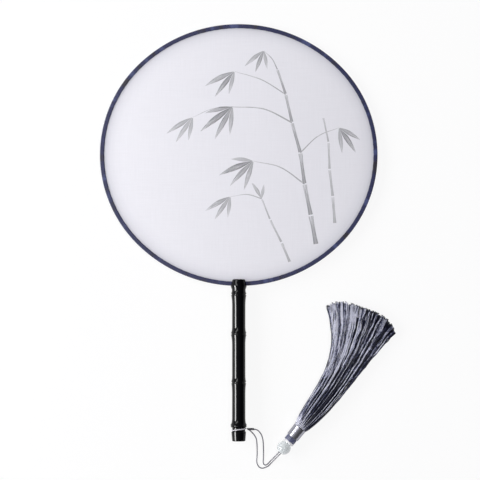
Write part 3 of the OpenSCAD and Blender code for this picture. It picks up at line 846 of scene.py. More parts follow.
def handle_outline():
    """The handle's outline, head to butt, as (radius, distance from the head), in metres."""
    size = settings("handle")
    waist = size.waist_diameter / 2 / MM
    shoulder = size.shoulder_diameter / 2 / MM
    fork = size.fork_depth / MM
    length = size.length / MM
    outline = rounded(size.head_diameter / 2 / MM - HEAD_EDGE, HEAD_EDGE, HEAD_EDGE, -80, 0, 6)
    outline += [(shoulder - 0.62, fork - 3.2), (shoulder - 0.35, fork - 2),
                (shoulder - 0.08, fork - 0.8), (shoulder, fork), (shoulder - 0.2, fork + 1),
                (shoulder - 0.55, fork + 2), (waist + 0.2, fork + 3.4)]
    for joint in CARVED_JOINTS:
        place, rise = joint
        for past, share, cut in JOINT_SWELL:
            if joint is CARVED_JOINTS[0] and past < FIRST_JOINT_START:
                continue
            if joint is CARVED_JOINTS[-1] and past > LAST_JOINT_END:
                continue
            outline.append((waist + share * rise - cut * RING_CUT, place + past))
    outline += [(GROOVE_RADIUS, place) for place in GROOVE] + GROOVE_STEP
    butt = size.butt_diameter / 2 / MM
    outline += rounded(butt - BUTT_EDGE, length - BUTT_EDGE, BUTT_EDGE, 0, 84, 6)
    return [(radius * MM, place * MM) for radius, place in outline]


def hand_carved(point):
    """Wanders the handle's section by some hundredths of a mm from round, as a knife leaves it."""
    angle = math.atan2(point.y, point.x)
    slow = 0.022 * math.sin(3 * angle + point.z * 90)
    quick = 0.012 * math.sin(5 * angle - point.z * 150)
    wander = (slow + quick) * MM
    radius = math.hypot(point.x, point.y)
    # The end faces stay flat, because their inner points don't move
    grown = 1 + wander / radius if radius > 5 * MM else 1
    return Vector((point.x * grown, point.y * grown, point.z))


def cut_away(piece, make_cutter):
    """Cuts a tool's shape out of a piece and throws the tool away."""
    deselect_all()
    make_cutter()
    cutter = bpy.context.object
    bpy.context.view_layer.objects.active = piece
    cut = piece.modifiers.new("cut", "BOOLEAN")
    cut.object = cutter
    cut.operation = "DIFFERENCE"
    cut.solver = "EXACT"
    bpy.ops.object.modifier_apply(modifier=cut.name)
    bpy.data.objects.remove(cutter)


# Cord routes, as part.scad has them: x and y in metres from the knot's start, share of the height
KNOT_START = Vector((7.65, -188.078, 10.8435)) * MM
INNER_ROUTE = [
    (0.0016, -0.0001, 1), (0.0030, -0.0013, 0.99), (0.0052, -0.0033, 0.95), (0.0074, -0.006, 0.86),
    (0.009, -0.009, 0.73), (0.0096, -0.0124, 0.56), (0.0099, -0.0164, 0.37), (0.010, -0.0205, 0.2),
    (0.010, -0.024, 0.08), (0.0098, -0.0276, 0.02), (0.0095, -0.0311, 0), (0.0098, -0.0336, 0),
    (0.011, -0.036, 0), (0.0126, -0.0376, 0), (0.0145, -0.0382, 0), (0.0164, -0.038, 0),
    (0.0184, -0.0372, 0)]
OUTER_ROUTE = [
    (0.0068, 0, 1), (0.009, -0.0004, 1), (0.0108, -0.0013, 0.98), (0.0124, -0.003, 0.94),
    (0.014, -0.0055, 0.85), (0.0151, -0.0087, 0.71), (0.0157, -0.0124, 0.53), (0.016, -0.0169, 0.33),
    (0.0161, -0.0213, 0.16), (0.0161, -0.0254, 0.05), (0.0159, -0.0294, 0), (0.0158, -0.0331, 0),
    (0.0162, -0.0344, 0), (0.0173, -0.0352, 0), (0.0186, -0.0352, 0)]
LEAD_ROUTE = [(0.0221, -0.0333, 0.02), (0.0242, -0.031, 0.14), (0.0264, -0.0286, 0.4),
              (0.0288, -0.026, 0.76)]
BEND_WAY = math.radians(45)
# The CAD's strands stop this far before the bend and before the bead's mouth
FLEX_GAP = 0.8 * MM
MOUTH_PLACE = -6.377 * MM
# How far the strands run on into the bead
INTO_BEAD = 0.3 * MM
STEP = 0.35 * MM
# Rounds of averaging, which keep the tightest bend at two diameters of the cord
EASING = 16


def strand_line(route, side):
    """One strand's smooth line, from the knot round the bend to the bead's mouth."""
    cord = settings("cord")
    radius = cord.diameter / 2
    off = side * cord.pitch / 2

    def placed(route, top):
        return [Vector((KNOT_START.x + x, KNOT_START.y + y, radius + share * (top - radius)))
                for x, y, share in route]
    points = placed(route, KNOT_START.z)
    way = Vector((math.cos(BEND_WAY), math.sin(BEND_WAY), 0))
    beside = Vector((-way.y, way.x, 0))
    points += [BEND + off * beside - FLEX_GAP / 2 * way, BEND + off * beside + FLEX_GAP / 2 * way]
    middle = [BEND + FLEX_GAP / 2 * way] + placed(LEAD_ROUTE, BEAD_CENTRE.z)
    middle.append(BEAD_CENTRE + (MOUTH_PLACE - FLEX_GAP) * TASSEL_AXIS)
    for i in range(1, len(middle)):
        ahead = middle[min(i + 1, len(middle) - 1)] - middle[i - 1]
        if i == len(middle) - 1:
            ahead = TASSEL_AXIS
        out = Vector((-ahead.y, ahead.x, 0)).normalized()
        points.append(middle[i] + off * out)
    points.append(points[-1] + (FLEX_GAP + INTO_BEAD) * TASSEL_AXIS)
    line = smooth_line(points, STEP)
    for _ in range(EASING):
        eased = [(a + 2 * b + c) / 4 for a, b, c in zip(line, line[1:], line[2:])]
        line = [line[0]] + eased + [line[-1]]
    for spot in line:
        spot.z = max(spot.z, radius)
    return line


KNOT_LENGTH = 7.6 * MM
KNOT_TURNS = 6
STEPS_A_TURN = 16
KNOT_REACH = 0.72 * MM
WRAP_RADIUS = 0.5 * MM


def knot_line():
    """The wrapped knot: a close helix along +X from the noose."""
    steps = KNOT_TURNS * STEPS_A_TURN
    room = KNOT_LENGTH - 2 * WRAP_RADIUS
    line = []
    for k in range(steps + 1):
        a = 2 * math.pi * KNOT_TURNS * k / steps
        line.append(KNOT_START + Vector((WRAP_RADIUS + room * k / steps, KNOT_REACH * math.sin(a),
                                         KNOT_REACH * math.cos(a))))
    return line


NOOSE_LEAN = math.radians(7)
NOOSE_RADIUS = 7.0 * MM
NOOSE_STEPS = 120


# Tassel: stations along its axis from the bead's centre, and the skirt's edges, in mm
BORE = 1.7
CUP_END = 8.0
BAND_START = 8.02
HEAD_THREADS = 48
SLEEVE_START = 13.0
SKIRT_LEFT = [(2, 7.2), (36, 17), (74, 6), (106, 55)]
SKIRT_RIGHT = [(1, -7.2), (33, -17.5), (79, -9.5), (129, -13)]
# The skirt swells to its height and falls again over a share of its length, and its end bulges
SKIRT_HEIGHT = 13.0
SKIRT_FALL = 3.2
SKIRT_BULGE = 11.5
SWELL_SHARE = 0.7
# Threads: the sides of one, how many make a wisp, and the locks that the wisps gather in
THREAD_SIDES = 3
THREADS_IN_WISP = 9
LOCK_COUNT = 10
# Shares of a thread's length at its stations: close together where it leaves the sleeve
STATIONS = np.concatenate([[0.0, 0.018, 0.042, 0.075, 0.12, 0.17, 0.225],
                           np.linspace(0.285, 1.0, 13)])
# Inside the sleeve: the share of a thread that is tucked in, the mm that a share of 1 would be
# there, the bundle's radius in mm and how much of it the threads' middles fill
TUCKED_SHARE = 0.012
TUCKED_SCALE = 160
BUNDLE_RADIUS = 5.9
BUNDLE_FILL = 0.97
# Crimps: about how long a thread is, and for the wisps and for single threads the height of their
# waves, their shortest and their longest, all in mm
THREAD_RUN = 135
WISP_WAVES = (0.6, 15, 26)
THREAD_WAVES = (0.3, 11, 17)
# Least room in mm between a thread and the table, and between the core and the table
THREAD_ROOM = 0.03
CORE_ROOM = 0.35
# Tones go from 0, darkest, to 1, lightest, partly random tone and partly painted light and shade.
# Neighbouring wisps share streaks of them, which change at knots along the thread: the streaks'
# spread as a whole, and from knot to knot
STREAKS = 88
TONE_KNOTS = 14
STREAK_SPREAD = 0.22
KNOT_SPREAD = 0.24
WISP_SPREAD = 0.24
THREAD_SPREAD = 0.07
MIDDLE_TONE = 0.37


def bezier(corners, t):
    """Points of a cubic curve at the shares t."""
    a, b, c, d = (np.asarray(p, float) for p in corners)
    t = np.asarray(t)[..., None]
    return (1 - t) ** 3 * a + 3 * t * (1 - t) ** 2 * b + 3 * t ** 2 * (1 - t) * c + t ** 3 * d


def grow(run, end):
    """Grows from 0 to 1 until the run reaches its end."""
    return np.clip(run / end, 0, 1)


def swell(run, end):
    """Swells from 0 to 1 and falls back to 0 where the run reaches its end."""
    return np.sin(np.pi * grow(run, end))


def skirt_places(t, x, h):
    """Places in mm, in the tassel's frame, of shares t along, x across and h up the skirt."""
    size = settings("tassel")
    mouth = size.sleeve_mouth / MM
    mouth_end = SLEEVE_START + size.sleeve_length / MM
    bead_radius = size.bead_diameter / 2 / MM
    run = np.clip(t, 0, None)
    left, right = bezier(SKIRT_LEFT, run), bezier(SKIRT_RIGHT, run)
    half = (left - right) / 2
    out = np.stack([half[..., 1], -half[..., 0]], -1)
    out /= np.linalg.norm(out, axis=-1, keepdims=True)
    round_share = np.clip(1 - x ** 2, 0, 1)
    bulge = SKIRT_BULGE * run ** 3 * np.clip(1 - x ** 4, 0, 1)
    flat = (left + right) / 2 + x[..., None] * half + bulge[..., None] * out
    top = mouth - SKIRT_FALL * run + (SKIRT_HEIGHT - mouth) * swell(run, SWELL_SHARE)
    middle = (1 - run) * (bead_radius + mouth / 2) / 2 + run * top / 2
    z = middle + h * np.sqrt(round_share) * top / 2
    return np.stack([flat[..., 0] + mouth_end, flat[..., 1], z - bead_radius], -1)


def tone_field(rng, across):
    """Tones along each wisp that its neighbours share, in streaks across the skirt."""
    knots = np.linspace(0, 1, TONE_KNOTS)
    streak = np.clip((across + 1) / 2, 0, 1) * (STREAKS - 1)
    near = streak.astype(int)
    mix = streak - near
    field = (rng.normal(0, STREAK_SPREAD, (STREAKS + 1, 1))
             + rng.normal(0, KNOT_SPREAD, (STREAKS + 1, TONE_KNOTS)))
    field = field[near[:, 0]] * (1 - mix) + field[near[:, 0] + 1] * mix
    return np.array([np.interp(STATIONS, knots, row) for row in field])


def wisp_tones(rng, x, h, run, inner):
    """Each wisp's tones, with painted light and shade: x across, h up, run along, inner from its
    lock's middle to the edge.
    """
    wisps = len(x)
    tone = tone_field(rng, x)
    # Its own tone, livelier towards the cut end, and here and there a wisp with a painted glint
    tone = (rng.normal(0, WISP_SPREAD, (wisps, 1)) + tone) * (0.75 + 0.4 * grow(run, 0.45))
    tone += 0.3 * (rng.uniform(0, 1, (wisps, 1)) < 0.13) * grow(run, 0.3)
    # Painted shade to the right, away from the key lamp, and low down under the upper threads, painted
    # light to the left, and lighter to the cut end
    tone -= 0.5 * np.clip(-0.05 - x, 0, 1)
    tone += MIDDLE_TONE + 0.1 * x + 0.4 * (h - 0.66) + 0.14 * grow(run, 0.5)
    # Painted shade between the locks, over most of the length
    tone += (0.02 - 0.55 * inner ** 2.5) * swell(run, 0.7)
    # Painted light where the threads leave the sleeve, lit from the left, so not on the right side
    painted_lighting = np.clip((x + 0.75) / 0.55, 0, 1)
    return tone + (0.68 + 0.2 * x) * painted_lighting * np.exp(-(run / 0.04) ** 1.5)


def thread_lines(rng, wisps, low, high):
    """Middle lines of the threads in mm, in wisps, with each one's tone along its length."""
    size = settings("tassel")
    radius = size.thread_diameter / 2 / MM
    bead_radius = size.bead_diameter / 2 / MM
    wisp_x = rng.uniform(-0.97, 0.97, (wisps, 1))
    wisp_h = rng.uniform(low, high, (wisps, 1))
    # Locks: the wisps gather in a few broad ones below the sleeve, with dark gaps between
    even = np.linspace(-1, 1, LOCK_COUNT + 1)
    shifts = rng.uniform(-0.3, 0.3, LOCK_COUNT - 1) / LOCK_COUNT
    edges = np.concatenate([[-1], even[1:-1] + shifts, [1]])
    lock = np.clip(np.searchsorted(edges, wisp_x) - 1, 0, LOCK_COUNT - 1)
    lock_middle = (edges[lock] + edges[lock + 1]) / 2
    lock_half = (edges[lock + 1] - edges[lock]) / 2
    inner = np.abs(wisp_x - lock_middle) / lock_half
    end = 1 - rng.uniform(0, 0.02, (wisps, 1))
    t = STATIONS * (end + TUCKED_SHARE) - TUCKED_SHARE
    run = np.clip(t, 0, 1)
    tone = wisp_tones(rng, wisp_x, wisp_h, run, inner)
    # Places: towards the lock's middle, with drift and strays that grow to the cut end
    gather = 1 - 0.36 * swell(t - 0.02, 0.72) ** 0.8
    drift = rng.normal(0, 0.03, (wisps, 1)) * run ** 1.5
    stray = (rng.uniform(0, 1, (wisps, 1)) < 0.07) * rng.normal(0, 0.07, (wisps, 1)) * run ** 2
    x = lock_middle + (wisp_x - lock_middle) * gather + drift + stray
    # Each lock stands up in its middle
    h = wisp_h * (1 - 0.24 * inner ** 2 * swell(run, 0.9))
    # From wisps to threads, each a little beside the others
    count = wisps * THREADS_IN_WISP
    x, h, t, run, tone = (np.repeat(part, THREADS_IN_WISP, 0) for part in (x, h, t, run, tone))
    x = np.clip(x + rng.normal(0, 0.009, (count, 1)) * (0.6 + 0.4 * run), -1.06, 1.06)
    h = np.clip(h + rng.normal(0, 0.09, (count, 1)), -1, 1)
    places = skirt_places(t * (1 - rng.uniform(0, 0.006, (count, 1))), x, h)
    # The stations before the mouth lie inside the sleeve
    tucked = t < 0
    ring = np.sqrt(np.clip(1 - x ** 2, 0, 1))
    mouth_end = SLEEVE_START + size.sleeve_length / MM
    inside = (mouth_end + t * TUCKED_SCALE, x * BUNDLE_RADIUS * BUNDLE_FILL,
              h * ring * BUNDLE_RADIUS * BUNDLE_FILL)
    for axis, place in enumerate(inside):
        places[..., axis] = np.where(tucked, place, places[..., axis])
    # Crimps: waves that the threads of a wisp share, and each thread's own
    swing = np.clip(run * 1.5 - 0.3, 0, 1)
    for (height, shortest, longest), groups in ((WISP_WAVES, wisps), (THREAD_WAVES, count)):
        wave = np.repeat(rng.uniform(shortest, longest, (groups, 1)), count // groups, 0)
        phase = np.repeat(rng.uniform(0, 2 * np.pi, (groups, 1)), count // groups, 0)
        turn = 2 * np.pi * run * THREAD_RUN / wave + phase
        places[..., 1] += height * swing * np.sin(turn)
        places[..., 2] += 0.4 * height * swing * np.sin(1.3 * turn + phase)
    places[..., 2] = np.maximum(places[..., 2], radius - bead_radius + THREAD_ROOM)
    tone = tone + rng.normal(0, THREAD_SPREAD, (count, 1))
    return places, np.clip(tone, 0.0, 1.0)


def build_threads(name, seed, wisps, low, high):
    """Many three-sided threads as one piece."""
    rng = np.random.default_rng(seed)
    lines, tones = thread_lines(rng, wisps, low, high)
    count = len(lines)
    radius = settings("tassel").thread_diameter / 2 / MM
    way = np.gradient(lines, axis=1)
    way /= np.linalg.norm(way, axis=-1, keepdims=True)
    side = np.cross(way, [0.0, 0.0, 1.0])
    side /= np.linalg.norm(side, axis=-1, keepdims=True)
    lift = np.cross(side, way)
    rings = []
    for k in range(THREAD_SIDES):
        a = math.pi / 2 + 2 * math.pi * k / THREAD_SIDES
        rings.append(lines + radius * (math.cos(a) * side + math.sin(a) * lift))
    points = np.stack(rings, 2).reshape(-1, 3) * MM
    matrix = np.array(TASSEL)
    points = points @ matrix[:3, :3].T + matrix[:3, 3]
    stations = len(STATIONS)
    per_thread = stations * THREAD_SIDES
    firsts = per_thread * np.arange(count)[:, None, None]
    around = np.array(inside_out(walls(stations, THREAD_SIDES)))
    ends = np.array([face[::-1] for face in caps(stations, THREAD_SIDES)])
    faces = (firsts + around).reshape(-1, 4).tolist() + (firsts + ends).reshape(-1, 3).tolist()
    piece = mesh_piece(name, points, faces)
    steps = np.linalg.norm(np.diff(lines, axis=1), axis=-1)
    run = np.concatenate([np.zeros((count, 1)), np.cumsum(steps, axis=1)], axis=1) * MM
    u = np.repeat(run[..., None], THREAD_SIDES, 2).reshape(-1)
    # The threads of a wisp crimp much alike, and each wisp in its own way
    wisp, thread = np.divmod(np.arange(count), THREADS_IN_WISP)
    v = np.repeat(wisp * 7.3 + thread * 0.12, per_thread)
    set_uv(piece, "thread", np.stack([u, v], 1))
    set_attribute(piece, "tone", np.repeat(tones[..., None], THREAD_SIDES, 2).reshape(-1))
    return piece


# The core's share of the skirt's width, how much that narrows, where it ends and its tone, near black
# as painted shade
CORE_SHARE = 0.8
CORE_TAPER = 0.25
CORE_END = 0.93
CORE_PAINTED_SHADE = 0.1
CORE_STATIONS = 20
CORE_SIDES = 36


def build_core():
    """The inside of the bundle: a closed body within the outer threads, near black as painted shade.
    """
    a = 2 * np.pi * np.arange(CORE_SIDES) / CORE_SIDES
    rings = []
    for t in np.linspace(0.0, CORE_END, CORE_STATIONS):
        share = CORE_SHARE * (1 - CORE_TAPER * t)
        rings.append(skirt_places(np.full(CORE_SIDES, t), share * np.cos(a), share * np.sin(a)))
    points = np.concatenate(rings)
    bead_radius = settings("tassel").bead_diameter / 2 / MM
    points[:, 2] = np.maximum(points[:, 2], CORE_ROOM - bead_radius)
    faces = walls(CORE_STATIONS, CORE_SIDES) + caps(CORE_STATIONS, CORE_SIDES)
    piece = mesh_piece("thread_core", [TASSEL @ (Vector(p) * MM) for p in points], faces)
    set_uv(piece, "thread", [(p[0] * MM, p[1]) for p in points])
    set_attribute(piece, "tone", np.full(len(points), CORE_PAINTED_SHADE))
    return piece


class FAN_OT_stage(bpy.types.Operator):
    """Sets up the camera, the white table and the studio light"""
    bl_idname = "silk_fan.stage"
    bl_label = "Stage"

    def execute(self, context):
        look = settings("studio")
        scene = context.scene
        scene.view_settings.view_transform = "Standard"
        camera = bpy.data.cameras.new("camera")
        camera.sensor_width = 36.0
        camera.lens = camera.sensor_width * look.camera_height / look.view_width
        camera.clip_end = 100.0
        scene.camera = self.hold(camera, (look.view_x, look.view_y, look.camera_height))
        deselect_all()
        # The table lies a hair under the object, so that the two never share a surface
        bpy.ops.mesh.primitive_plane_add(size=look.floor_size, location=(0, 0, -0.02 * MM))
        floor = context.object
        floor.name = "table"
        floor.data.materials.append(finish("white paper", white_paper))
        # Two soft lights that give no highlight, then a strip and a panel that give nothing else
        sleeve = BEAD_CENTRE + 19 * MM * TASSEL_AXIS
        for name, power, size, place, target, unseen in (
                ("key", look.key_power, (1.5, 0.6), (-1.08, 0.2, 0.625), (0, 0.2, 0), "glossy"),
                ("fill", look.fill_strength, None, (0.3, -0.4, 2), (0, -0.4, 0), "glossy"),
                ("strip", look.strip_power, (1.1, 0.46), (-1.06, -0.5, 0.66), (0, -0.5, 0),
                 "diffuse"),
                ("panel", look.panel_power, (0.3, 0.87), (-0.6, 0.34, 0.86), sleeve, "diffuse")):
            setattr(self.lamp(name, place, target, power, size), "visible_" + unseen, False)
        # The room: brighter at the left, and white from the table up to a little over it
        world = bpy.data.worlds.new("studio")
        scene.world = world
        world.use_nodes = True
        world.node_tree.nodes.clear()
        add = partial(add_node, world.node_tree)
        parts = add("SeparateXYZ", links={0: add("TexCoord").outputs["Generated"]})
        sky = add("MapRange", {1: -0.9, 2: 0.6, 3: 0.45, 4: 0.05}, {0: parts.outputs["X"]})
        low = add("MapRange", {1: 0.03, 2: 0.14, 3: 1.0, 4: 0.0}, {0: parts.outputs["Z"]})
        level = add("Mix", {"data_type": "FLOAT", 3: 1.0}, {0: low, 2: sky})
        light = add("Background", {"Color": (0.98, 0.98, 1.0, 1.0)}, {"Strength": level})
        add("OutputWorld", links={0: light})
        return {"FINISHED"}

    def hold(self, data, place):
        """A camera or a lamp as an object at its place."""
        holder = bpy.data.objects.new(data.name, data)
        holder.location = place
        bpy.context.scene.collection.objects.link(holder)
        return holder

    def lamp(self, name, place, target, power, size):
        """A lamp that looks at a target: a rectangle of the size given, or a soft sun."""
        lamp = bpy.data.lights.new(name, "AREA" if size else "SUN")
        lamp.energy = power
        if size:
            lamp.shape = "RECTANGLE"
            lamp.size, lamp.size_y = size
        else:
            lamp.angle = math.radians(30)
        holder = self.hold(lamp, place)
        way = Vector(target) - Vector(place)
        holder.rotation_euler = way.to_track_quat("-Z", "Y").to_euler()
        return holder


class FAN_OT_cords(bpy.types.Operator):
    """Makes the noose, the wrapped knot and the two strands to the bead"""
    bl_idname = "silk_fan.cords"
    bl_label = "Cords"

    def execute(self, context):
        cord = settings("cord")
        radius = cord.diameter / 2
        satin = finish("rayon cord", rayon_cord, cord.colour)
        # Painted shade: the knot's copy of the cord is painted darker
        dark = finish("rayon cord, painted darker", rayon_cord, cord.knot_painted_shade)
        # Painted light: the noose's copy of the cord is painted lighter
        pale = finish("rayon cord, painted lighter", rayon_cord, cord.noose_painted_light)
        across = Vector((math.cos(NOOSE_LEAN), math.sin(NOOSE_LEAN), 0))
        middle = FAN.inverted() @ NOOSE_CENTRE
        ring = [FAN @ (middle + NOOSE_RADIUS * (math.cos(a) * across + math.sin(a) * UP))
                for a in (2 * math.pi * k / NOOSE_STEPS for k in range(NOOSE_STEPS))]
        noose = twisted_tube("cord_loop_round_handle", ring, radius, closed=True)
        dress(noose, pale, "cord", "cord_loop", "cord_noose")
        knot = twisted_tube("wrapped_knot", knot_line(), WRAP_RADIUS)
        dress(knot, dark, "cord", "cord_loop", "cord_knot")
        for name, route, side in (("inner", INNER_ROUTE, -1), ("outer", OUTER_ROUTE, 1)):
            line = strand_line(route, side)
            strand = twisted_tube(name + "_cord", line, radius)
            dress(strand, satin, "cord", None, name + "_strand", "lead_" + name)
            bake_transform(strand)
        return {"FINISHED"}


class FAN_OT_fittings(bpy.types.Operator):
    """Turns the bead, its cup, the thread-covered head and the sleeve"""
    bl_idname = "silk_fan.fittings"
    bl_label = "Bead, cup and sleeve"

    def execute(self, context):
        size = settings("tassel")
        radius = size.bead_diameter / 2 / MM
        # The bead: a ball with a rounded lip at each end of its bore
        reach = math.sqrt((radius - 0.1) ** 2 - (BORE + 0.25) ** 2)
        tilt = math.degrees(math.asin(reach / radius)) - 1.0
        lip = [(BORE, reach - 0.25), (BORE + 0.08, reach - 0.06), (BORE + 0.25, reach)]
        bead = [(r, -z) for r, z in lip] + rounded(0, 0, radius, -tilt, tilt, 40)
        bead += lip[::-1] + bead[:1]
        dress(self.turn("polished_bead", bead, 72), finish("pale jade", pale_jade),
              "jade", "bead", "jade_bead")
        cup = size.cup_diameter / 2 / MM
        # The cup: hollowed for the bead, with a rounded rim and foot
        hollow = [(BORE, 6.69), (2.6, 6.39), (3.3, 6.06), (3.62, 5.9), (3.9, 5.84)]
        rim = rounded(cup - 0.55, 6.45, 0.55, -90, 0, 5)
        foot = rounded(cup - 0.45, CUP_END - 0.45, 0.45, 0, 90, 5)
        cup_outline = hollow + rim + foot + [(BORE, CUP_END), hollow[0]]
        dress(self.turn("white_cup", cup_outline, 72), finish("glossy white plastic", white_plastic),
              "cup", "tassel", "bead_cup")
        # The head: lengthwise threads round the stopper's chamber, and a tail in the sleeve
        wound = cup - 0.2
        band = [(BORE, BAND_START), (wound - 0.3, BAND_START), (wound - 0.05, 8.2), (wound, 9.5),
                (wound, 11.5), (wound - 0.03, 12.4), (wound - 0.2, 12.8), (4.2, 13.0), (4.2, 13.4),
                (2.4, 13.4), (2.4, 10.7), (BORE, 10.7), (BORE, BAND_START)]
        head = self.turn("thread_band", band, 144, self.threaded)
        dress(head, finish("rayon thread", rayon_thread), "thread", "tassel", "thread_head")
        spots = [TASSEL.inverted() @ vertex.co for vertex in head.data.vertices]
        set_uv(head, "thread", [(spot.x, 0.0) for spot in spots])
        # Painted light and shade: the head's tone follows its raised threads, lighter near each ridge
        # and darker between them
        turns = [HEAD_THREADS * math.atan2(spot.z, spot.y) for spot in spots]
        set_attribute(head, "tone", [0.47 + 0.14 * math.sin(turn + 1.0) for turn in turns])
        # The sleeve: a tube with a rolled edge at each end
        top, mouth = size.sleeve_diameter / 2 / MM, size.sleeve_mouth / 2 / MM
        start, end = SLEEVE_START, SLEEVE_START + size.sleeve_length / MM
        sleeve = [(top - 0.4, start + 0.1), (top - 0.3, start), (top - 0.1, start),
                  (top, start + 0.12), (top + 0.02, start + 0.9), (top + 0.04, start + 1.0),
                  (mouth - 0.06, end - 1.3), (mouth - 0.03, end - 1.1), (mouth, end - 0.9),
                  (mouth + 0.02, end - 0.15),
                  (mouth - 0.08, end), (mouth - 0.3, end), (mouth - 0.4, end - 0.12),
                  (top - 0.4, start + 0.1)]
        dress(self.turn("plated_sleeve", sleeve, 96), finish("plated sleeve", plated_metal),
              "sleeve", "tassel", "metal_sleeve")
        return {"FINISHED"}

    def turn(self, name, outline, sides, shape=None):
        """A bored piece turned about the tassel's axis, its outline in millimetres."""
        return lathe(name, [(r * MM, z * MM) for r, z in outline], ALONG_TASSEL, sides, True, shape)

    def threaded(self, point):
        """Raises the lengthwise threads round the head by a tenth of a millimetre."""
        radius = math.hypot(point.x, point.y)
        if radius < 4.5 * MM:
            return point
        ridge = 0.1 * MM * (0.5 + 0.5 * math.cos(HEAD_THREADS * math.atan2(point.y, point.x)))
        return Vector((point.x * (1 + ridge / radius), point.y * (1 + ridge / radius), point.z))


class FAN_OT_skirt(bpy.types.Operator):
    """Makes the tassel's cut threads"""
    bl_idname = "silk_fan.skirt"
    bl_label = "Tassel threads"

    def execute(self, context):
        size = settings("tassel")
        thread = finish("rayon thread", rayon_thread)
        upper = build_threads("upper_threads", 7, size.upper_wisps, 0.25, 1.0)
        dress(upper, thread, "thread", "tassel", "tassel_skirt")
        lower = build_threads("lower_threads", 11, size.lower_wisps, -1.0, 0.4)
        dress(lower, thread, "thread", "tassel")
        dress(build_core(), thread, "thread", "tassel")
        return {"FINISHED"}


class FAN_OT_face(bpy.types.Operator):
    """Stretches the two silk layers, brushes the ink and folds the ribbon over the rim"""
    bl_idname = "silk_fan.face"
    bl_label = "Silk and ribbon"

    def execute(self, context):
        look = settings("face")
        silk = finish("silk gauze", silk_gauze)
        for name, side, node in (("silk_front", 1, "front_silk"), ("silk_back", -1, "back_silk")):
            sheet = dress(silk_sheet(name, side), silk, "silk", "fan", node)
        dress(build_ink(), finish("brushed ink", brushed_ink), "silk", "fan")
        self.ribbon()
        return {"FINISHED"}

    def ribbon(self):
        """The ribbon: its folded section carried round the oval, with soft gathers at its edges."""
        look = settings("face")
        profile = ribbon_profile()
        outline = oval_outline(RIBBON_SEGMENTS)
        depth = [0.0]
        for (x0, z0), (x1, z1) in zip(profile, profile[1:]):
            depth.append(depth[-1] + math.hypot(x1 - x0, z1 - z0))
        points, pairs = [], []
        for k in range(RIBBON_SEGMENTS + 1):
            point, out, run = outline[k % RIBBON_SEGMENTS]
            if k == RIBBON_SEGMENTS:
                run = outline[-1][2] + (outline[0][0] - outline[-1][0]).length
            for (inward, height), deep in zip(profile, depth):
                loose = max(0.0, (inward - 0.5 * look.ribbon_width) / look.ribbon_width) * 2
                # Waves of three lengths, so that the gathers don't repeat
                long, short, drawn = (math.sin(run / wave * 2 * math.pi + start)
                                      for wave, start in GATHER_WAVES)
                lift = abs(loose * (0.07 * long + 0.05 * short)) * MM
                place = point - (inward + loose * 0.08 * drawn * MM) * out
                points.append(FAN @ (place + Vector((0, 0, height + math.copysign(lift, height)))))
                pairs.append((run, deep))
        rows = len(profile)
        faces = [(k * rows + i, k * rows + i + 1, (k + 1) * rows + i + 1, (k + 1) * rows + i)
                 for k in range(RIBBON_SEGMENTS) for i in range(rows - 1)]
        piece = mesh_piece("folded_ribbon", points, faces)
        set_uv(piece, "ribbon", pairs)
        pick(piece)
        bpy.ops.object.mode_set(mode="EDIT")
        close_mesh()
        thicken(piece, look.ribbon_thickness)
        dress(piece, finish("space-dyed ribbon", satin_ribbon), "ribbon", "fan", "rim_binding")


class FAN_OT_handle(bpy.types.Operator):
    """Turns and carves the lacquered handle and cuts its slot"""
    bl_idname = "silk_fan.handle"
    bl_label = "Handle"

    def execute(self, context):
        size = settings("handle")
        look = settings("face")
        head = -look.height / 2 + size.fork_depth
        place = FAN @ Matrix.Translation((0, head, 0)) @ Matrix.Rotation(math.pi / 2, 4, "X")
        handle = lathe("carved_handle", handle_outline(), Matrix.Identity(4), HANDLE_SIDES, False,
                       hand_carved)
        half = look.hoop_thickness / 2 + look.silk_thickness + look.ribbon_thickness + SLOT_GAP

        def slot_cutter():
            # It starts above the head and ends a gap below the rim
            bpy.ops.mesh.primitive_cube_add(
                size=1, location=(0, 0, size.fork_depth / 2 - CUTTER_MARGIN))
            bpy.context.object.scale = (CUTTER_REACH, 2 * half,
                                        size.fork_depth + 2 * CUTTER_MARGIN + 2 * SLOT_GAP)
        cut_away(handle, slot_cutter)
        for side in (-1, 1):
            def pin_cutter():
                bpy.ops.mesh.primitive_cylinder_add(
                    vertices=32, radius=PIN_HOLE_RADIUS, depth=CUTTER_REACH,
                    rotation=(math.pi / 2, 0, 0),
                    location=(side * PIN_SPACING / 2, 0, size.fork_depth - PIN_PLACE))
            cut_away(handle, pin_cutter)
        handle.data.transform(place)
        pick(handle)
        bpy.ops.object.shade_smooth_by_angle(angle=SMOOTH_ANGLE)
        dress(handle, finish("black lacquer", black_lacquer), "lacquer", "fan", "handle")
        return {"FINISHED"}


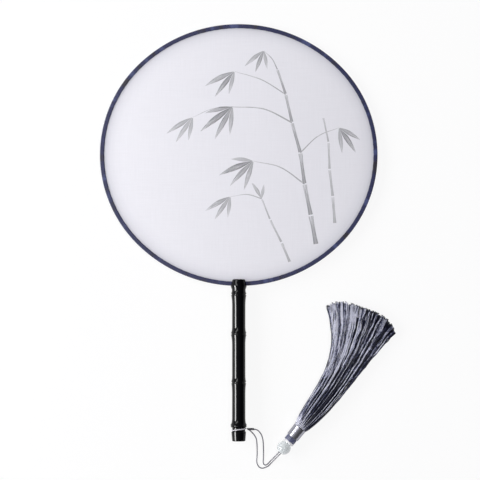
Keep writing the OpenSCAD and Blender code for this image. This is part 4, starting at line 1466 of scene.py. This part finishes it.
class FAN_OT_hidden_pieces(bpy.types.Operator):
    """Gives the CAD pieces that stay in use their materials"""
    bl_idname = "silk_fan.hidden_pieces"
    bl_label = "Hoop, pins and core"

    def execute(self, context):
        cord = settings("cord")
        finishes = {
            "rim_hoop": finish("split bamboo", split_bamboo),
            "fork_pins": finish("black lacquer", black_lacquer),
            "core_cord": finish("rayon cord", rayon_cord, cord.colour),
            # Painted shade: the stopper knot takes the knot's darker copy of the cord
            "stopper_knot": finish("rayon cord, painted darker", rayon_cord, cord.knot_painted_shade),
            "neck_winding": finish("rayon thread", rayon_thread)}
        for node, material in finishes.items():
            for slot in frame["nodes"][node].material_slots:
                slot.material = material
        return {"FINISHED"}


class FAN_PT_panel(bpy.types.Panel):
    """Lists the makers of the fan's pieces"""
    bl_label = "Silk fan"
    bl_idname = "FAN_PT_panel"
    bl_space_type = "VIEW_3D"
    bl_region_type = "UI"
    bl_category = "Silk fan"

    def draw(self, context):
        for operator in OPERATORS:
            self.layout.operator(operator.bl_idname)
        for name, _ in GROUPS:
            box = self.layout.box()
            group = settings(name)
            for field in group.__annotations__:
                box.prop(group, field)


GROUPS = [("studio", StudioSettings), ("face", FaceSettings), ("handle", HandleSettings),
          ("cord", CordSettings), ("tassel", TasselSettings)]
OPERATORS = [FAN_OT_stage, FAN_OT_fittings, FAN_OT_cords, FAN_OT_handle, FAN_OT_face,
             FAN_OT_skirt, FAN_OT_hidden_pieces]


def register():
    for kind in [group for _, group in GROUPS] + OPERATORS + [FAN_PT_panel]:
        bpy.utils.register_class(kind)
    for name, group in GROUPS:
        setattr(bpy.types.Scene, "silk_fan_" + name, bpy.props.PointerProperty(type=group))


def unregister():
    for name, _ in GROUPS:
        delattr(bpy.types.Scene, "silk_fan_" + name)
    for kind in reversed([group for _, group in GROUPS] + OPERATORS + [FAN_PT_panel]):
        bpy.utils.unregister_class(kind)


def main():
    register()
    bpy.ops.silk_fan.stage()
    bpy.ops.silk_fan.fittings()
    bpy.ops.silk_fan.cords()
    bpy.ops.silk_fan.handle()
    bpy.ops.silk_fan.face()
    bpy.ops.silk_fan.skirt()
    bpy.ops.silk_fan.hidden_pieces()


if __name__ == "__main__":
    main()
